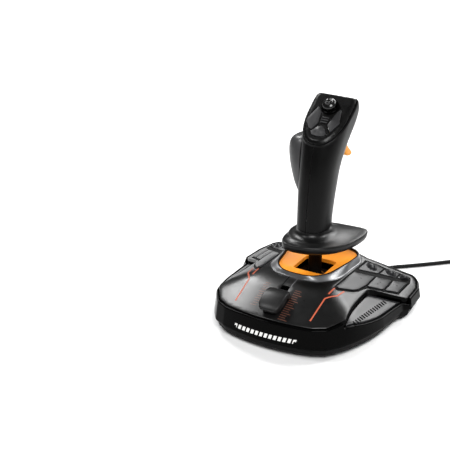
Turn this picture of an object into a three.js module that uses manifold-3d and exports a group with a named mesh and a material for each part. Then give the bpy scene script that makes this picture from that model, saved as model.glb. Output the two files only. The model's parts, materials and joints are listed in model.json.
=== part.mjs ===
// Right-handed flight joystick: weighted base, two-axis gimbal, twisting grip and USB lead.
// Millimetres, +Z up, +X to the player's right, +Y away from the player.
// Plan points are measured from the gimbal axis; the whole group is then moved so that
// the origin sits under the middle of the base.
import * as THREE from 'three';
import { mergeVertices } from 'three/addons/utils/BufferGeometryUtils.js';
import Module from 'manifold-3d';

const wasm = await Module();
wasm.setup();

// ---------------------------------------------------------------- driving dimensions
const GAP = 0.3; // clearance between neighbouring pieces
const WALL = 2.6; // moulded wall thickness
const GIMBAL_Y = 20.3; // gimbal axis ahead of the footprint's middle
const BASE_MIDDLE_Y = -GIMBAL_Y;
const PIVOT_Z = 31; // height of both gimbal axes
const TABLE_GAP = 2.2; // feet lift the tray this far off the table

// Base outline at OUTLINE_Z; it widens towards the table, more so at the rear.
const OUTLINE_Z = 37;
const FLARE_FRONT = 0.001;
const FLARE_REAR = 0.0022;
const FLARE_Y = 0.001;
const FRONT_Y = -112.7;
const FRONT_RADIUS = 171.5;
const FRONT_CORNER_X = 55;
const SIDE_HALF_WIDTH = 92.2;
const SIDE_CENTRE_Y = 4;
const SIDE_LENGTH = 128.9;
const SIDE_POWER = 2 / 2.3;
const WING_CORNERS = [[92.4, 16.8], [98, 24.4], [96, 54], [91.4, 65.5], [84.4, 73]];
const REAR_POINTS = [[63.8, 59.5], [43, 47], [31, 48], [16, 52]];
const REAR_Y = 53;

// Upper surface: sloping apron, two drooping wings and a level middle, blended together.
const APRON_Z = 54;
const APRON_Y = -66.6;
const APRON_SLOPE = 0.39;
const APRON_CROWN = 0.0016;
const WING_Z = 47.5;
const WING_X = 54.3;
const WING_Y = -1.9;
const WING_SLOPE_X = 0.491;
const WING_SLOPE_Y = 0.059;
const MIDDLE_Z = 56.5;
const REAR_DROP_Y = 36;
const BLEND = 6;
const GRID_STEP = 11;

// Side panels are sunk below the wing surface, outside this ridge line.
const PANEL_DROP = 6.3;
const PANEL_THICK = 2.2;
const RIDGE = [[75.5, -90], [71.5, -68], [68.2, -45], [66.4, -12], [70, -3], [95.5, 22.5]];

const BAND_Z = 13.3;
const TRAY_TOP_Z = 13;
const TRAY_FLOOR = 2.6;
const SCREW_PLACES = { front: [0, -98], left: [-60, 47], right: [60, 47] };
const SCREW_HEAD_Z = 2.6;

// Collar and light dish around the stick.
const DISH_POINTS = [
  [0, -44.5], [12, -43.5], [21, -38.5], [29, -27], [33, -8], [36, 10], [36.5, 26], [30, 36], [16, 40.5],
];
const DISH_REAR_Y = 42;
const COLLAR_POINTS = [
  [0, -48.6], [13, -48], [26, -44.5], [36.5, -33], [40.4, -18], [40.8, 6], [40.8, 28], [34, 40.5], [17, 45],
];
const COLLAR_REAR_Y = 46.5;
const COLLAR_Z = 60;
const COLLAR_FOOT_Z = 50;
const DISH_Z = 57.5;
const WELL_Z = 51;
const WELL_HALF_X = 17.8;
const WELL_HALF_Y = 17.2;

// Button clusters, right-hand side; the left-hand one is their mirror image.
const CLUSTER = [
  [43.4, -44], [48.2, -44], [58.6, -29.6], [61.6, -21.5], [63.8, -8], [77.6, 8], [88.6, 21],
  [87.8, 54.5], [85, 62.6], [81.6, 63.4], [64.6, 50.6], [53, 44.2], [43.4, 37.6],
];
const KEYS = {
  front_inner: [[45, -41.5], [47.6, -41.5], [57.4, -28], [60.2, -20.5], [62, -4.6], [61, 19.6], [45, 2.4]],
  front_middle: [[63.8, -4.4], [76, 9.2], [75.4, 25], [74.2, 34], [62.6, 21.4]],
  front_outer: [[77.8, 11.2], [87.2, 22.2], [86.6, 49.6], [76, 36], [77.2, 25.8]],
  rear_inner: [[45, 10.4], [60.6, 28.2], [60.6, 44], [53.8, 42.8], [45, 36.4]],
  rear_middle: [[62.2, 29.8], [74.6, 42.8], [74.6, 56.6], [64.8, 49.2], [62.2, 47.8]],
  rear_outer: [[76.2, 44.8], [86.4, 56.8], [84, 61.6], [81, 61.8], [76.2, 58]],
};
const KEY_TOP = 0.9;
const DOME_TOP = 2.2;
const PAD_SCALE = 0.7;
const KEY_BOTTOM = -5.2;
const FRAME_FLOOR = -6.8;
const FRAME_BOTTOM = -8;
const POCKET_FLOOR = -8.3;
const FRAME_TOP = -0.3;

// Slider on the apron.
const SLOT_HALF = 4.7;
const SLOT_FRONT = -99.5;
const SLOT_REAR = -66;
const KNOB_Y = -89.5;
const KNOB_HALF_X = 12.2;
const KNOB_HALF_Y = 17;
const KNOB_FOOT_X = 10.4;
const KNOB_FOOT_Y = 14.6;

// Stick and grip.
const SHAFT_R = 7.2;
const SHAFT_TOP_Z = 128;
const PALM_Z = 88.8;
const PALM_WALL = 8;
const PALM_NECK_Y = -5.6;
const GRIP_BOTTOM_Z = 98;
const GRIP_SKIN = 2.4;
// height, nearest y, farthest y, half width, squareness of the far half
const GRIP_STATIONS = [
  [98, -25.6, 14.4, 16.8, 2.5], [106, -25.2, 15.2, 16.8, 2.5], [122, -24.4, 17.6, 17.3, 2.5],
  [142, -22.4, 21.6, 18.3, 2.5], [162, -19.4, 26.8, 19.2, 2.6], [180, -14.9, 34, 21, 2.9],
  [196, -9.6, 41, 23, 3.8], [208, -4, 44.6, 24.3, 6], [218, 2, 47, 24.8, 7], [228, 8, 44, 24.6, 7],
];
const GRIP_NEAR_SQUARENESS = 2.4;
const GRIP_SIDES = 24;
const PRESS = 1.2; // travel of every key and thumb button

// The head's face slopes down towards the player.
const HEAD_TILT = 35;
const HEAD_Y = 15.75;
const HEAD_Z = 210.2;
const HEAD_CROWN = 4;
const HAT_V = 13;

// Lead: 1.7 m in all, most of it wound into a coil.
const CORD_R = 2.2;
const CORD_ROUTE = [
  [0, 83.6, 11], [0, 88, 10.2], [0.6, 94, 7], [2.6, 101, 3.8], [7.6, 111, 2.5],
  [15, 122, 2.4], [25, 134.2, 2.4], [37, 148, 2.4], [49, 158.8, 2.4],
  [62.7, 170.9, 2.4], [76, 183.3, 2.4], [90, 196.9, 2.4], [104.5, 210.8, 2.4],
];
const COIL_CENTRE = [138.5, 208.2];
const COIL_R = 25.3;
const COIL_HALF = 6.6;
const TIE_ANGLE = 215;
const PLUG_X = COIL_CENTRE[0] + COIL_R + 2 * CORD_R;
const PLUG_Y = COIL_CENTRE[1] - 17.5;
const PLUG_Z = 4.3;

// ---------------------------------------------------------------- materials
const finish = (colour, roughness, metalness = 0) => ({ colour, roughness, metalness });
const SATIN_BLACK = finish(0x232324, 0.45);
const SATIN_GREY = finish(0x55575a, 0.42);
const GLOSS_BLACK = finish(0x0c0c0d, 0.12);
const SILVER = finish(0xb4b7ba, 0.35, 0.3);
const ORANGE = finish(0xf2932a, 0.4);
const RUBBER = finish(0x161616, 0.85);
const STEEL = finish(0xa7a9ab, 0.35, 1);
const BOARD_GREEN = finish(0x1d5a34, 0.5);
const CORD_BLACK = finish(0x121212, 0.7);

function material({ colour, roughness, metalness }) {
  return new THREE.MeshStandardMaterial({ color: colour, roughness, metalness });
}

// ---------------------------------------------------------------- solids
const stick = new THREE.Group();
stick.position.y = GIMBAL_Y;

function solid(geometry, matrix = null) {
  const bare = geometry.clone();
  bare.deleteAttribute('normal');
  bare.deleteAttribute('uv');
  if (matrix) bare.applyMatrix4(matrix);
  const welded = mergeVertices(bare, 1e-4);
  return new wasm.Manifold(new wasm.Mesh({
    numProp: 3,
    vertProperties: Float32Array.from(welded.attributes.position.array),
    triVerts: Uint32Array.from(welded.index.array),
  }));
}

function toGeometry(body) {
  const { vertProperties, triVerts } = body.getMesh();
  const geometry = new THREE.BufferGeometry();
  geometry.setAttribute('position', new THREE.BufferAttribute(Float32Array.from(vertProperties), 3));
  geometry.setIndex(new THREE.BufferAttribute(Uint32Array.from(triVerts), 1));
  return geometry;
}

function place(name, body, look, matrix = null) {
  const mesh = new THREE.Mesh(toGeometry(body), material(look));
  mesh.name = name;
  if (matrix) {
    mesh.applyMatrix4(matrix);
  }
  stick.add(mesh);
}

const minus = (body, ...cuts) => cuts.reduce((rest, cut) => rest.subtract(cut), body);
const plus = (body, ...others) => others.reduce((all, other) => all.add(other), body);

const shift = (x, y, z) => new THREE.Matrix4().makeTranslation(x, y, z);

function box(x0, x1, y0, y1, z0, z1) {
  const centre = shift((x0 + x1) / 2, (y0 + y1) / 2, (z0 + z1) / 2);
  return solid(new THREE.BoxGeometry(x1 - x0, y1 - y0, z1 - z0), centre);
}

// Round bar from one point to another.
function bar(from, to, radius, sides = 16, endRadius = radius) {
  const a = new THREE.Vector3(...from);
  const b = new THREE.Vector3(...to);
  const along = b.clone().sub(a);
  const up = new THREE.Vector3(0, 1, 0);
  const turn = new THREE.Quaternion().setFromUnitVectors(up, along.clone().normalize());
  const middle = a.clone().add(b).multiplyScalar(0.5);
  const matrix = new THREE.Matrix4().compose(middle, turn, new THREE.Vector3(1, 1, 1));
  return solid(new THREE.CylinderGeometry(endRadius, radius, along.length(), sides), matrix);
}

function prism(points, z0, z1, matrix = null) {
  const shape = new THREE.Shape(points.map(([x, y]) => new THREE.Vector2(x, y)));
  const geometry = new THREE.ExtrudeGeometry(shape, { depth: z1 - z0, bevelEnabled: false });
  geometry.translate(0, 0, z0);
  return solid(geometry, matrix);
}

// Closed skin over a stack of rings with equal point counts, counter-clockwise from above.
// With capped = false the last ring joins the first, which makes a washer.
function loft(rings, capped = true) {
  const count = rings[0].length;
  const index = [];
  const bands = capped ? rings.length - 1 : rings.length;
  for (let band = 0; band < bands; band += 1) {
    const low = band * count;
    const high = ((band + 1) % rings.length) * count;
    for (let i = 0; i < count; i += 1) {
      const j = (i + 1) % count;
      index.push(low + i, low + j, high + j, low + i, high + j, high + i);
    }
  }
  if (capped) {
    const flat = (ring) => ring.map(([x, y]) => new THREE.Vector2(x, y));
    for (const [a, b, c] of THREE.ShapeUtils.triangulateShape(flat(rings[0]), [])) {
      index.push(a, c, b);
    }
    const top = (rings.length - 1) * count;
    for (const [a, b, c] of THREE.ShapeUtils.triangulateShape(flat(rings.at(-1)), [])) {
      index.push(top + a, top + b, top + c);
    }
  }
  const geometry = new THREE.BufferGeometry();
  geometry.setAttribute('position', new THREE.Float32BufferAttribute(rings.flat(2), 3));
  geometry.setIndex(index);
  return solid(geometry);
}

// Right half from front to rear, then its mirror image, counter-clockwise.
function mirrored(half, rearY) {
  const left = half.slice(1).reverse().map(([x, y]) => [-x, y]);
  return [...half, [0, rearY], ...left];
}

// Moves each point of an outline outwards along the mean of its two edge normals.
function grown(points, distance) {
  return points.map(([x, y], i) => {
    const [px, py] = points.at(i - 1);
    const [nx, ny] = points[(i + 1) % points.length];
    const before = new THREE.Vector2(y - py, px - x).normalize();
    const after = new THREE.Vector2(ny - y, x - nx).normalize();
    const mean = before.clone().add(after).normalize();
    const reach = distance / Math.max(mean.dot(before), 0.5);
    return [x + mean.x * reach, y + mean.y * reach];
  });
}

function towardsMiddle(points, factor) {
  const middle = [0, 1].map((axis) => points.reduce((sum, point) => sum + point[axis], 0) / points.length);
  return points.map((point) => point.map((v, axis) => middle[axis] + (v - middle[axis]) * factor));
}

const flipped = (points) => points.map(([x, y]) => [-x, y]).reverse();

// ---------------------------------------------------------------- base surfaces
function softMin(a, b) {
  const near = Math.max(BLEND - Math.abs(a - b), 0) / BLEND;
  return Math.min(a, b) - near * near * BLEND / 4;
}

function wingZ(x, y) {
  return WING_Z - WING_SLOPE_X * (Math.abs(x) - WING_X) - WING_SLOPE_Y * (y - WING_Y);
}

function topZ(x, y) {
  const apron = APRON_Z + APRON_SLOPE * (y - APRON_Y) - APRON_CROWN * x * x;
  const middle = MIDDLE_Z - 0.3 * Math.max(y - REAR_DROP_Y, 0);
  return softMin(softMin(apron, middle), wingZ(x, y));
}

// Block from below the base up to the upper surface, lowered by the given drop.
function terrain(drop) {
  const columns = 2 * Math.ceil(112 / GRID_STEP);
  const rows = Math.ceil(210 / GRID_STEP);
  const rings = [];
  for (let r = 0; r <= rows; r += 1) {
    const y = -121 + r * GRID_STEP;
    const top = [];
    for (let c = 0; c <= columns; c += 1) {
      const x = (c - columns / 2) * GRID_STEP;
      top.push([x, y, topZ(x, y) - drop]);
    }
    const last = top.length - 1;
    rings.push([...top, [top[last][0], y, -5], [top[0][0], y, -5]]);
  }
  return swept(rings);
}

// Closed skin over rings that lie in upright planes, one behind the other along +Y.
function swept(rings) {
  const count = rings[0].length;
  const index = [];
  for (let r = 0; r + 1 < rings.length; r += 1) {
    for (let i = 0; i < count; i += 1) {
      const j = (i + 1) % count;
      const [a, b] = [r * count, (r + 1) * count];
      index.push(a + i, a + j, b + j, a + i, b + j, b + i);
    }
  }
  const flat = (ring) => ring.map(([x, , z]) => new THREE.Vector2(x, z));
  const end = (rings.length - 1) * count;
  for (const [a, b, c] of THREE.ShapeUtils.triangulateShape(flat(rings[0]), [])) {
    index.push(a, b, c);
  }
  for (const [a, b, c] of THREE.ShapeUtils.triangulateShape(flat(rings.at(-1)), [])) {
    index.push(end + a, end + c, end + b);
  }
  const geometry = new THREE.BufferGeometry();
  geometry.setAttribute('position', new THREE.Float32BufferAttribute(rings.flat(2), 3));
  geometry.setIndex(index);
  return solid(geometry);
}

function baseOutline() {
  const half = [];
  for (const x of [0, 18, 36, FRONT_CORNER_X - 5]) {
    half.push([x, FRONT_Y + FRONT_RADIUS - Math.sqrt(FRONT_RADIUS ** 2 - x * x)]);
  }
  for (const degrees of [40, 45, 51, 57, 64, 71, 79]) {
    const angle = THREE.MathUtils.degToRad(degrees);
    half.push([
      SIDE_HALF_WIDTH * Math.sin(angle) ** SIDE_POWER,
      SIDE_CENTRE_Y - SIDE_LENGTH * Math.cos(angle) ** SIDE_POWER,
    ]);
  }
  half.push(...WING_CORNERS, ...REAR_POINTS);
  return mirrored(half, REAR_Y);
}

const BASE_OUTLINE = baseOutline();

function flareX(y) {
  return THREE.MathUtils.mapLinear(THREE.MathUtils.clamp(y, -60, 20), -60, 20, FLARE_FRONT, FLARE_REAR);
}

function outlineAt(z, inset) {
  return grown(BASE_OUTLINE, -inset).map(([x, y], i) => [
    x * (1 + flareX(BASE_OUTLINE[i][1]) * (OUTLINE_Z - z)),
    y * (1 + FLARE_Y * (OUTLINE_Z - z)),
    z,
  ]);
}

// Upright block inside the outline. Every inset uses the same two rings, so the skins stay parallel.
function baseLoft(inset, bottomZ) {
  const whole = loft([outlineAt(0, inset), outlineAt(90, inset)]);
  return bottomZ > 0 ? whole.subtract(box(-130, 130, -150, 150, -10, bottomZ)) : whole;
}

// The outline drawn in towards the middle of the base, for the tray.
function drawnIn(z, factor) {
  return outlineAt(z, 0).map(([x, y]) => [x * factor, BASE_MIDDLE_Y + (y - BASE_MIDDLE_Y) * factor, z]);
}

// Frame of a wing: its z axis is square to the wing surface. side is 1 right, -1 left.
function wingFrame(side) {
  const normal = new THREE.Vector3(WING_SLOPE_X * side, WING_SLOPE_Y, 1).normalize();
  const across = new THREE.Vector3(1, 0, -WING_SLOPE_X * side).normalize();
  const along = normal.clone().cross(across);
  const origin = new THREE.Vector3(WING_X * side, WING_Y, WING_Z);
  return new THREE.Matrix4().makeBasis(across, along, normal).setPosition(origin);
}

// Plan outline laid on a wing and expressed in that wing's frame.
function onWing(points, side) {
  const toLocal = wingFrame(side).invert();
  const signed = side > 0 ? points : flipped(points);
  return signed.map(([x, y]) => {
    const local = new THREE.Vector3(x, y, wingZ(x, y)).applyMatrix4(toLocal);
    return [local.x, local.y];
  });
}

function wingPrism(points, side, grow, low, high) {
  return prism(grown(onWing(points, side), grow), low, high, wingFrame(side));
}

function panelRegion(side, grow) {
  const outer = [[75.5, -105], [125, -105], [125, 22.5]];
  const region = grown([...outer, ...RIDGE.toReversed()], grow);
  return side > 0 ? region : flipped(region);
}

// ---------------------------------------------------------------- base shells
const SIDES = [[1, 'right'], [-1, 'left']];
const apronFrame = new THREE.Matrix4()
  .makeRotationX(Math.atan(APRON_SLOPE))
  .setPosition(0, APRON_Y, APRON_Z);
const apronLength = (y) => (y - APRON_Y) * Math.hypot(1, APRON_SLOPE);

const ring = (points, z) => points.map(([x, y]) => [x, y, z]);
const DISH_OUTLINE = mirrored(DISH_POINTS, DISH_REAR_Y);
const COLLAR_OUTLINE = mirrored(COLLAR_POINTS, COLLAR_REAR_Y);

function makeUpperShell() {
  const outer = baseLoft(WALL + GAP, TRAY_TOP_Z + GAP).intersect(terrain(0));
  const panelFloor = terrain(PANEL_DROP + PANEL_THICK + GAP);
  const panelUnder = terrain(PANEL_DROP + PANEL_THICK + GAP + WALL);
  let cavity = baseLoft(2 * WALL + GAP, 0).intersect(terrain(WALL));
  let shell = outer;
  for (const [side] of SIDES) {
    const panelBlock = prism(panelRegion(side, WALL), 0, 80).subtract(panelUnder);
    const clusterBlock = wingPrism(CLUSTER, side, GAP + WALL, POCKET_FLOOR - WALL, 12);
    cavity = minus(cavity, panelBlock, clusterBlock);
    shell = minus(
      shell,
      prism(panelRegion(side, GAP), 0, 80).subtract(panelFloor),
      wingPrism(CLUSTER, side, GAP, POCKET_FLOOR, 12),
    );
  }
  const well = prism(grown(COLLAR_OUTLINE, GAP), 0, 80);
  const slotEnds = [apronLength(SLOT_FRONT), apronLength(SLOT_REAR)];
  const slot = box(-SLOT_HALF, SLOT_HALF, ...slotEnds, -12, 12);
  const cordHole = bar([0, 40, 11], [0, 70, 11], 5.6);
  return minus(shell, cavity, well, slot.transform(apronFrame.elements), cordHole);
}

function makeBand() {
  const sunk = terrain(PANEL_DROP);
  let outer = baseLoft(0, BAND_Z).intersect(terrain(0.2));
  for (const [side] of SIDES) {
    outer = outer.subtract(prism(panelRegion(side, 0), 0, 80).subtract(sunk));
  }
  return minus(outer, baseLoft(WALL, 0), bar([0, 40, 11], [0, 70, 11], 5.6));
}

function makePanel(side) {
  const region = prism(panelRegion(side, 0), 0, 80);
  const slab = baseLoft(WALL + GAP, 0).intersect(terrain(PANEL_DROP)).intersect(region);
  return slab.subtract(terrain(PANEL_DROP + PANEL_THICK));
}

function makeTray() {
  const low = TABLE_GAP;
  const outer = loft([drawnIn(low, 0.895), drawnIn(low + 4, 0.95), drawnIn(TRAY_TOP_Z, 0.98)]);
  const inner = loft([drawnIn(low + TRAY_FLOOR, 0.88), drawnIn(low + 6.5, 0.93), drawnIn(20, 0.95)]);
  const hollow = outer.subtract(inner);
  const corners = [[-28, -90], [28, -90], [-28, -70], [28, -70]];
  const posts = corners.map(([x, y]) => bar([x, y, 4], [x, y, 11], 3));
  const bosses = Object.values(SCREW_PLACES).map(([x, y]) => bar([x, y, 4], [x, y, 10.6], 4.4));
  const sockets = Object.values(SCREW_PLACES).flatMap(([x, y]) => [
    bar([x, y, 0], [x, y, SCREW_HEAD_Z + 2], 3.5),
    bar([x, y, 0], [x, y, 20], 1.8, 12),
  ]);
  return minus(plus(hollow, ...posts, ...bosses), ...sockets, bar([0, 40, 11], [0, 70, 11], 5.6));
}

place('upper_shell', makeUpperShell(), SATIN_BLACK);
place('skirt_band', makeBand(), GLOSS_BLACK);
place('lower_tray', makeTray(), SATIN_BLACK);

const collar = loft([
  ring(grown(DISH_OUTLINE, 0.4), COLLAR_FOOT_Z),
  COLLAR_OUTLINE.map(([x, y]) => [x, y, COLLAR_FOOT_Z]),
  COLLAR_OUTLINE.map(([x, y]) => [x, y, topZ(x, y) + 0.3]),
  ring(grown(DISH_OUTLINE, 2), COLLAR_Z),
  ring(grown(DISH_OUTLINE, 0.4), COLLAR_Z),
], false);
place('collar_ring', collar, SILVER);

// The well's square edge, sampled at the same directions as the dish outline.
const wellRing = (grow, z) => DISH_OUTLINE.map(([x, y]) => {
  const reach = Math.max(Math.abs(x) / (WELL_HALF_X + grow), Math.abs(y) / (WELL_HALF_Y + grow));
  return [x / reach, y / reach, z];
});
const dish = loft([
  wellRing(1.6, WELL_Z - 4),
  ring(grown(DISH_OUTLINE, 0), DISH_Z - 2.4),
  ring(grown(DISH_OUTLINE, 0), DISH_Z),
  wellRing(0, WELL_Z),
  wellRing(0, WELL_Z - 4),
], false);
place('light_dish', dish, ORANGE);

function makeButtonFrame(side) {
  let frame = wingPrism(CLUSTER, side, 0, FRAME_BOTTOM, FRAME_TOP);
  for (const points of Object.values(KEYS)) {
    frame = frame.subtract(wingPrism(points, side, GAP, FRAME_FLOOR, 12));
  }
  return frame;
}

// The rear keys carry a raised pad.
function makeKey(points, side, padded) {
  const body = wingPrism(points, side, -GAP, KEY_BOTTOM, KEY_TOP);
  return padded ? body.add(wingPrism(towardsMiddle(points, PAD_SCALE), side, 0, 0, DOME_TOP)) : body;
}

for (const [side, hand] of SIDES) {
  place(`${hand}_side_panel`, makePanel(side), SATIN_GREY);
  place(`${hand}_button_frame`, makeButtonFrame(side), SATIN_BLACK);
  for (const [key, points] of Object.entries(KEYS)) {
    place(`${hand}_key_${key}`, makeKey(points, side, key.startsWith('rear')), SATIN_GREY);
  }
}

// ---------------------------------------------------------------- feet, screws, ballast, board, gland
for (const [corner, [x, y]] of Object.entries(SCREW_PLACES)) {
  const head = bar([x, y, SCREW_HEAD_Z], [x, y, SCREW_HEAD_Z + 1.7], 3.1);
  place(`tray_screw_${corner}`, head.add(bar([x, y, SCREW_HEAD_Z + 1], [x, y, 10.8], 1.5, 12)), STEEL);
}

const FOOT_PLACES = {
  front_left: [-56, -74],
  front_right: [56, -74],
  rear_left: [-74, 40],
  rear_right: [74, 40],
};
for (const [corner, [x, y]] of Object.entries(FOOT_PLACES)) {
  place(`foot_${corner}`, bar([x, y, 0], [x, y, TABLE_GAP - GAP], 8.5, 20, 9), RUBBER);
}
for (const [side, hand] of SIDES) {
  place(`ballast_${hand}`, box(side * 60 - 15, side * 60 + 15, -52, 26, 5.2, 11), STEEL);
}
place('main_board', box(-33, 33, -97, -65, 11.3, 12.9), BOARD_GREEN);

const GLAND_Z = 11;
const gland = plus(
  bar([0, 48, GLAND_Z], [0, 56.2, GLAND_Z], 5.2),
  bar([0, 55.8, GLAND_Z], [0, 63, GLAND_Z], 3.8, 16, 3),
);
place('cord_gland', minus(gland, bar([0, 47, GLAND_Z], [0, 70, GLAND_Z], CORD_R + 0.1)), RUBBER);

// ---------------------------------------------------------------- gimbal
const TOWER_X = 31;
const TOWER_THICK = 6;
function makeGimbalFrame() {
  const plate = box(-42, 42, -30, 30, 5.2, 9);
  const towers = [-1, 1].map((side) => {
    const near = side * TOWER_X;
    const far = side * (TOWER_X + TOWER_THICK);
    return box(Math.min(near, far), Math.max(near, far), -9, 9, 8, 40);
  });
  return minus(plus(plate, ...towers), bar([-50, 0, PIVOT_Z], [50, 0, PIVOT_Z], 4.1, 20));
}
place('gimbal_frame', makeGimbalFrame(), SATIN_BLACK);

function makeGimbalRing() {
  const outer = box(-22, 22, -22, 22, PIVOT_Z - 5.5, PIVOT_Z + 5.5);
  const inner = box(-15.5, 15.5, -15.5, 15.5, PIVOT_Z - 8, PIVOT_Z + 8);
  const axles = [-1, 1].map((side) => bar([side * 21, 0, PIVOT_Z], [side * 36.8, 0, PIVOT_Z], 3.8, 20));
  const bore = bar([0, -30, PIVOT_Z], [0, 30, PIVOT_Z], 3.8, 20);
  return plus(minus(outer, inner, bore), ...axles);
}
place('gimbal_ring', makeGimbalRing(), SATIN_GREY);

const sleeve = (from, to, outer, inner) => minus(
  bar(from, to, outer, 18),
  bar(from.map((v, i) => 2 * v - to[i]), to.map((v, i) => 2 * v - from[i]), inner, 18),
);
place('pitch_spring', sleeve([23, 0, PIVOT_Z], [30, 0, PIVOT_Z], 7.4, 4.3), STEEL);
place('roll_spring', sleeve([0, 11.8, PIVOT_Z], [0, 15, PIVOT_Z], 6.6, 4), STEEL);

function makeShaft() {
  const lower = bar([0, 0, PIVOT_Z - 7], [0, 0, PIVOT_Z + 7], 11, 20);
  const column = bar([0, 0, 19], [0, 0, SHAFT_TOP_Z], SHAFT_R, 20);
  return plus(lower, column, bar([0, -21.4, PIVOT_Z], [0, 21.4, PIVOT_Z], 3.5, 18));
}
place('stick_shaft', makeShaft(), SATIN_BLACK);
place('sensor_magnet', bar([0, 0, 14.5], [0, 0, 18.7], 4), STEEL);

// ---------------------------------------------------------------- slider
const knobProfile = [
  [-17, 5.4], [7, 5.4], [9, 0.8], [17, 0.8], [16.2, 4.2],
  [11, 9.4], [4, 11.6], [-4, 11.6], [-12, 10.4], [-17, 8.4],
];
function knobPlan(halfX, halfY) {
  const plan = [];
  const power = (v) => Math.sign(v) * Math.abs(v) ** 0.5;
  for (let i = 0; i < 24; i += 1) {
    const angle = (i + 0.5) * Math.PI / 12;
    plan.push([halfX * power(Math.cos(angle)), halfY * power(Math.sin(angle))]);
  }
  return plan;
}

// Wedge-shaped cap that overhangs a smaller foot at the front and sides.
function makeKnob() {
  const side = new THREE.Matrix4().makeBasis(
    new THREE.Vector3(0, 1, 0), new THREE.Vector3(0, 0, 1), new THREE.Vector3(1, 0, 0),
  );
  const block = prism(knobProfile, -KNOB_HALF_X, KNOB_HALF_X, side);
  const cap = block.intersect(prism(knobPlan(KNOB_HALF_X, KNOB_HALF_Y), -2, 20));
  return cap.add(prism(knobPlan(KNOB_FOOT_X, KNOB_FOOT_Y), 0.8, 6));
}
const knobFrame = apronFrame.clone().multiply(shift(0, apronLength(KNOB_Y), 0));
place('slider_knob', makeKnob().transform(knobFrame.elements), SATIN_BLACK);
const carriage = plus(box(-4.1, 4.1, -6, 6, -8, 0.5), box(-9, 9, -9, 9, -10, -5.4));
place('slider_carriage', carriage.transform(knobFrame.elements), SATIN_GREY);

// ---------------------------------------------------------------- grip
const rad = THREE.MathUtils.degToRad;
const HEAD_FRAME = new THREE.Matrix4().makeRotationX(rad(HEAD_TILT)).setPosition(0, HEAD_Y, HEAD_Z);

function gripRing([z, nearY, farY, halfX, squareness], inset) {
  const middle = (nearY + farY) / 2;
  const halfY = (farY - nearY) / 2;
  const points = [];
  for (let i = 0; i < GRIP_SIDES; i += 1) {
    const angle = (i + 0.5) * 2 * Math.PI / GRIP_SIDES;
    const power = 2 / (Math.sin(angle) > 0 ? squareness : GRIP_NEAR_SQUARENESS);
    const curve = (v) => Math.sign(v) * Math.abs(v) ** power;
    const x = (halfX - inset) * curve(Math.cos(angle));
    points.push([x, middle + (halfY - inset) * curve(Math.sin(angle)), z]);
  }
  return points;
}
const gripLoft = (inset) => loft(GRIP_STATIONS.map((station) => gripRing(station, inset)));
const headSlab = (low, high) => prism([[-60, -70], [60, -70], [60, 70], [-60, 70]], low, high, HEAD_FRAME);

const TRIGGER_PIVOT = [39.5, 203];
const TRIGGER_HALF = 8.4;
const PIN_REACH = 12.4;
const PIN_R = 1.5;
const pinLine = (reach) => [[-reach, ...TRIGGER_PIVOT], [reach, ...TRIGGER_PIVOT]];
const triggerSide = new THREE.Matrix4().makeBasis(
  new THREE.Vector3(0, 1, 0), new THREE.Vector3(0, 0, 1), new THREE.Vector3(1, 0, 0),
);

function makeGripShell(side) {
  const bottom = box(-60, 60, -60, 60, 0, GRIP_BOTTOM_Z + GRIP_SKIN);
  const hollow = gripLoft(GRIP_SKIN).subtract(bottom).subtract(headSlab(-GRIP_SKIN, 60));
  const half = side > 0 ? box(GAP / 2, 60, -80, 80, 60, 260) : box(-60, -GAP / 2, -80, 80, 60, 260);
  const shaftHole = bar([0, 0, 60], [0, 0, GRIP_BOTTOM_Z + 6], SHAFT_R + GAP, 20);
  const slotHalf = TRIGGER_HALF + 0.6;
  const triggerSlot = box(-slotHalf, slotHalf, 31, 60, 183, 211);
  const pinSeat = bar(...pinLine(PIN_REACH + GAP), PIN_R + GAP, 14);
  const shell = gripLoft(0).subtract(headSlab(0, 60)).subtract(hollow);
  return minus(shell, shaftHole, triggerSlot, pinSeat).intersect(half);
}
for (const [side, hand] of SIDES) {
  place(`grip_${hand}_shell`, makeGripShell(side), SATIN_BLACK);
}

// Cover over the sloping face, crowned in the middle, with windows for the hat and buttons.
const HAT_R = 9.4;
const BUTTON_SHAPES = {
  left: [[-19, -6.9], [-13.4, -16], [-9, -17.8], [-5, -8], [-6.6, 5.4], [-12.8, 11.8]],
  right: [[17.4, -5.6], [13, 12.4], [10, 8.9], [8, 0.5], [5.8, -9.6], [12.2, -17.8]],
  centre: [
    [-8.8, -20.2], [-6.8, -23.6], [0, -25], [6.8, -23.6],
    [8.8, -20.2], [3.4, -13.4], [0, -11.4], [-3.4, -13.4],
  ],
};
function makeHeadCover() {
  const section = gripLoft(1.2).intersect(headSlab(GAP, 2.4));
  const raised = gripLoft(2.6).intersect(headSlab(2.2, HEAD_CROWN));
  let cover = section.add(raised);
  for (const points of Object.values(BUTTON_SHAPES)) {
    cover = cover.subtract(prism(grown(points, GAP), -1, 20, HEAD_FRAME));
  }
  const hatWell = bar([0, HAT_V, -1], [0, HAT_V, 20], HAT_R - 2, 24).transform(HEAD_FRAME.elements);
  return cover.subtract(hatWell);
}
place('head_cover', makeHeadCover(), SATIN_BLACK);
for (const [key, points] of Object.entries(BUTTON_SHAPES)) {
  place(`thumb_button_${key}`, prism(points, PRESS + GAP, HEAD_CROWN + 1.2, HEAD_FRAME), SATIN_GREY);
}

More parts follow.
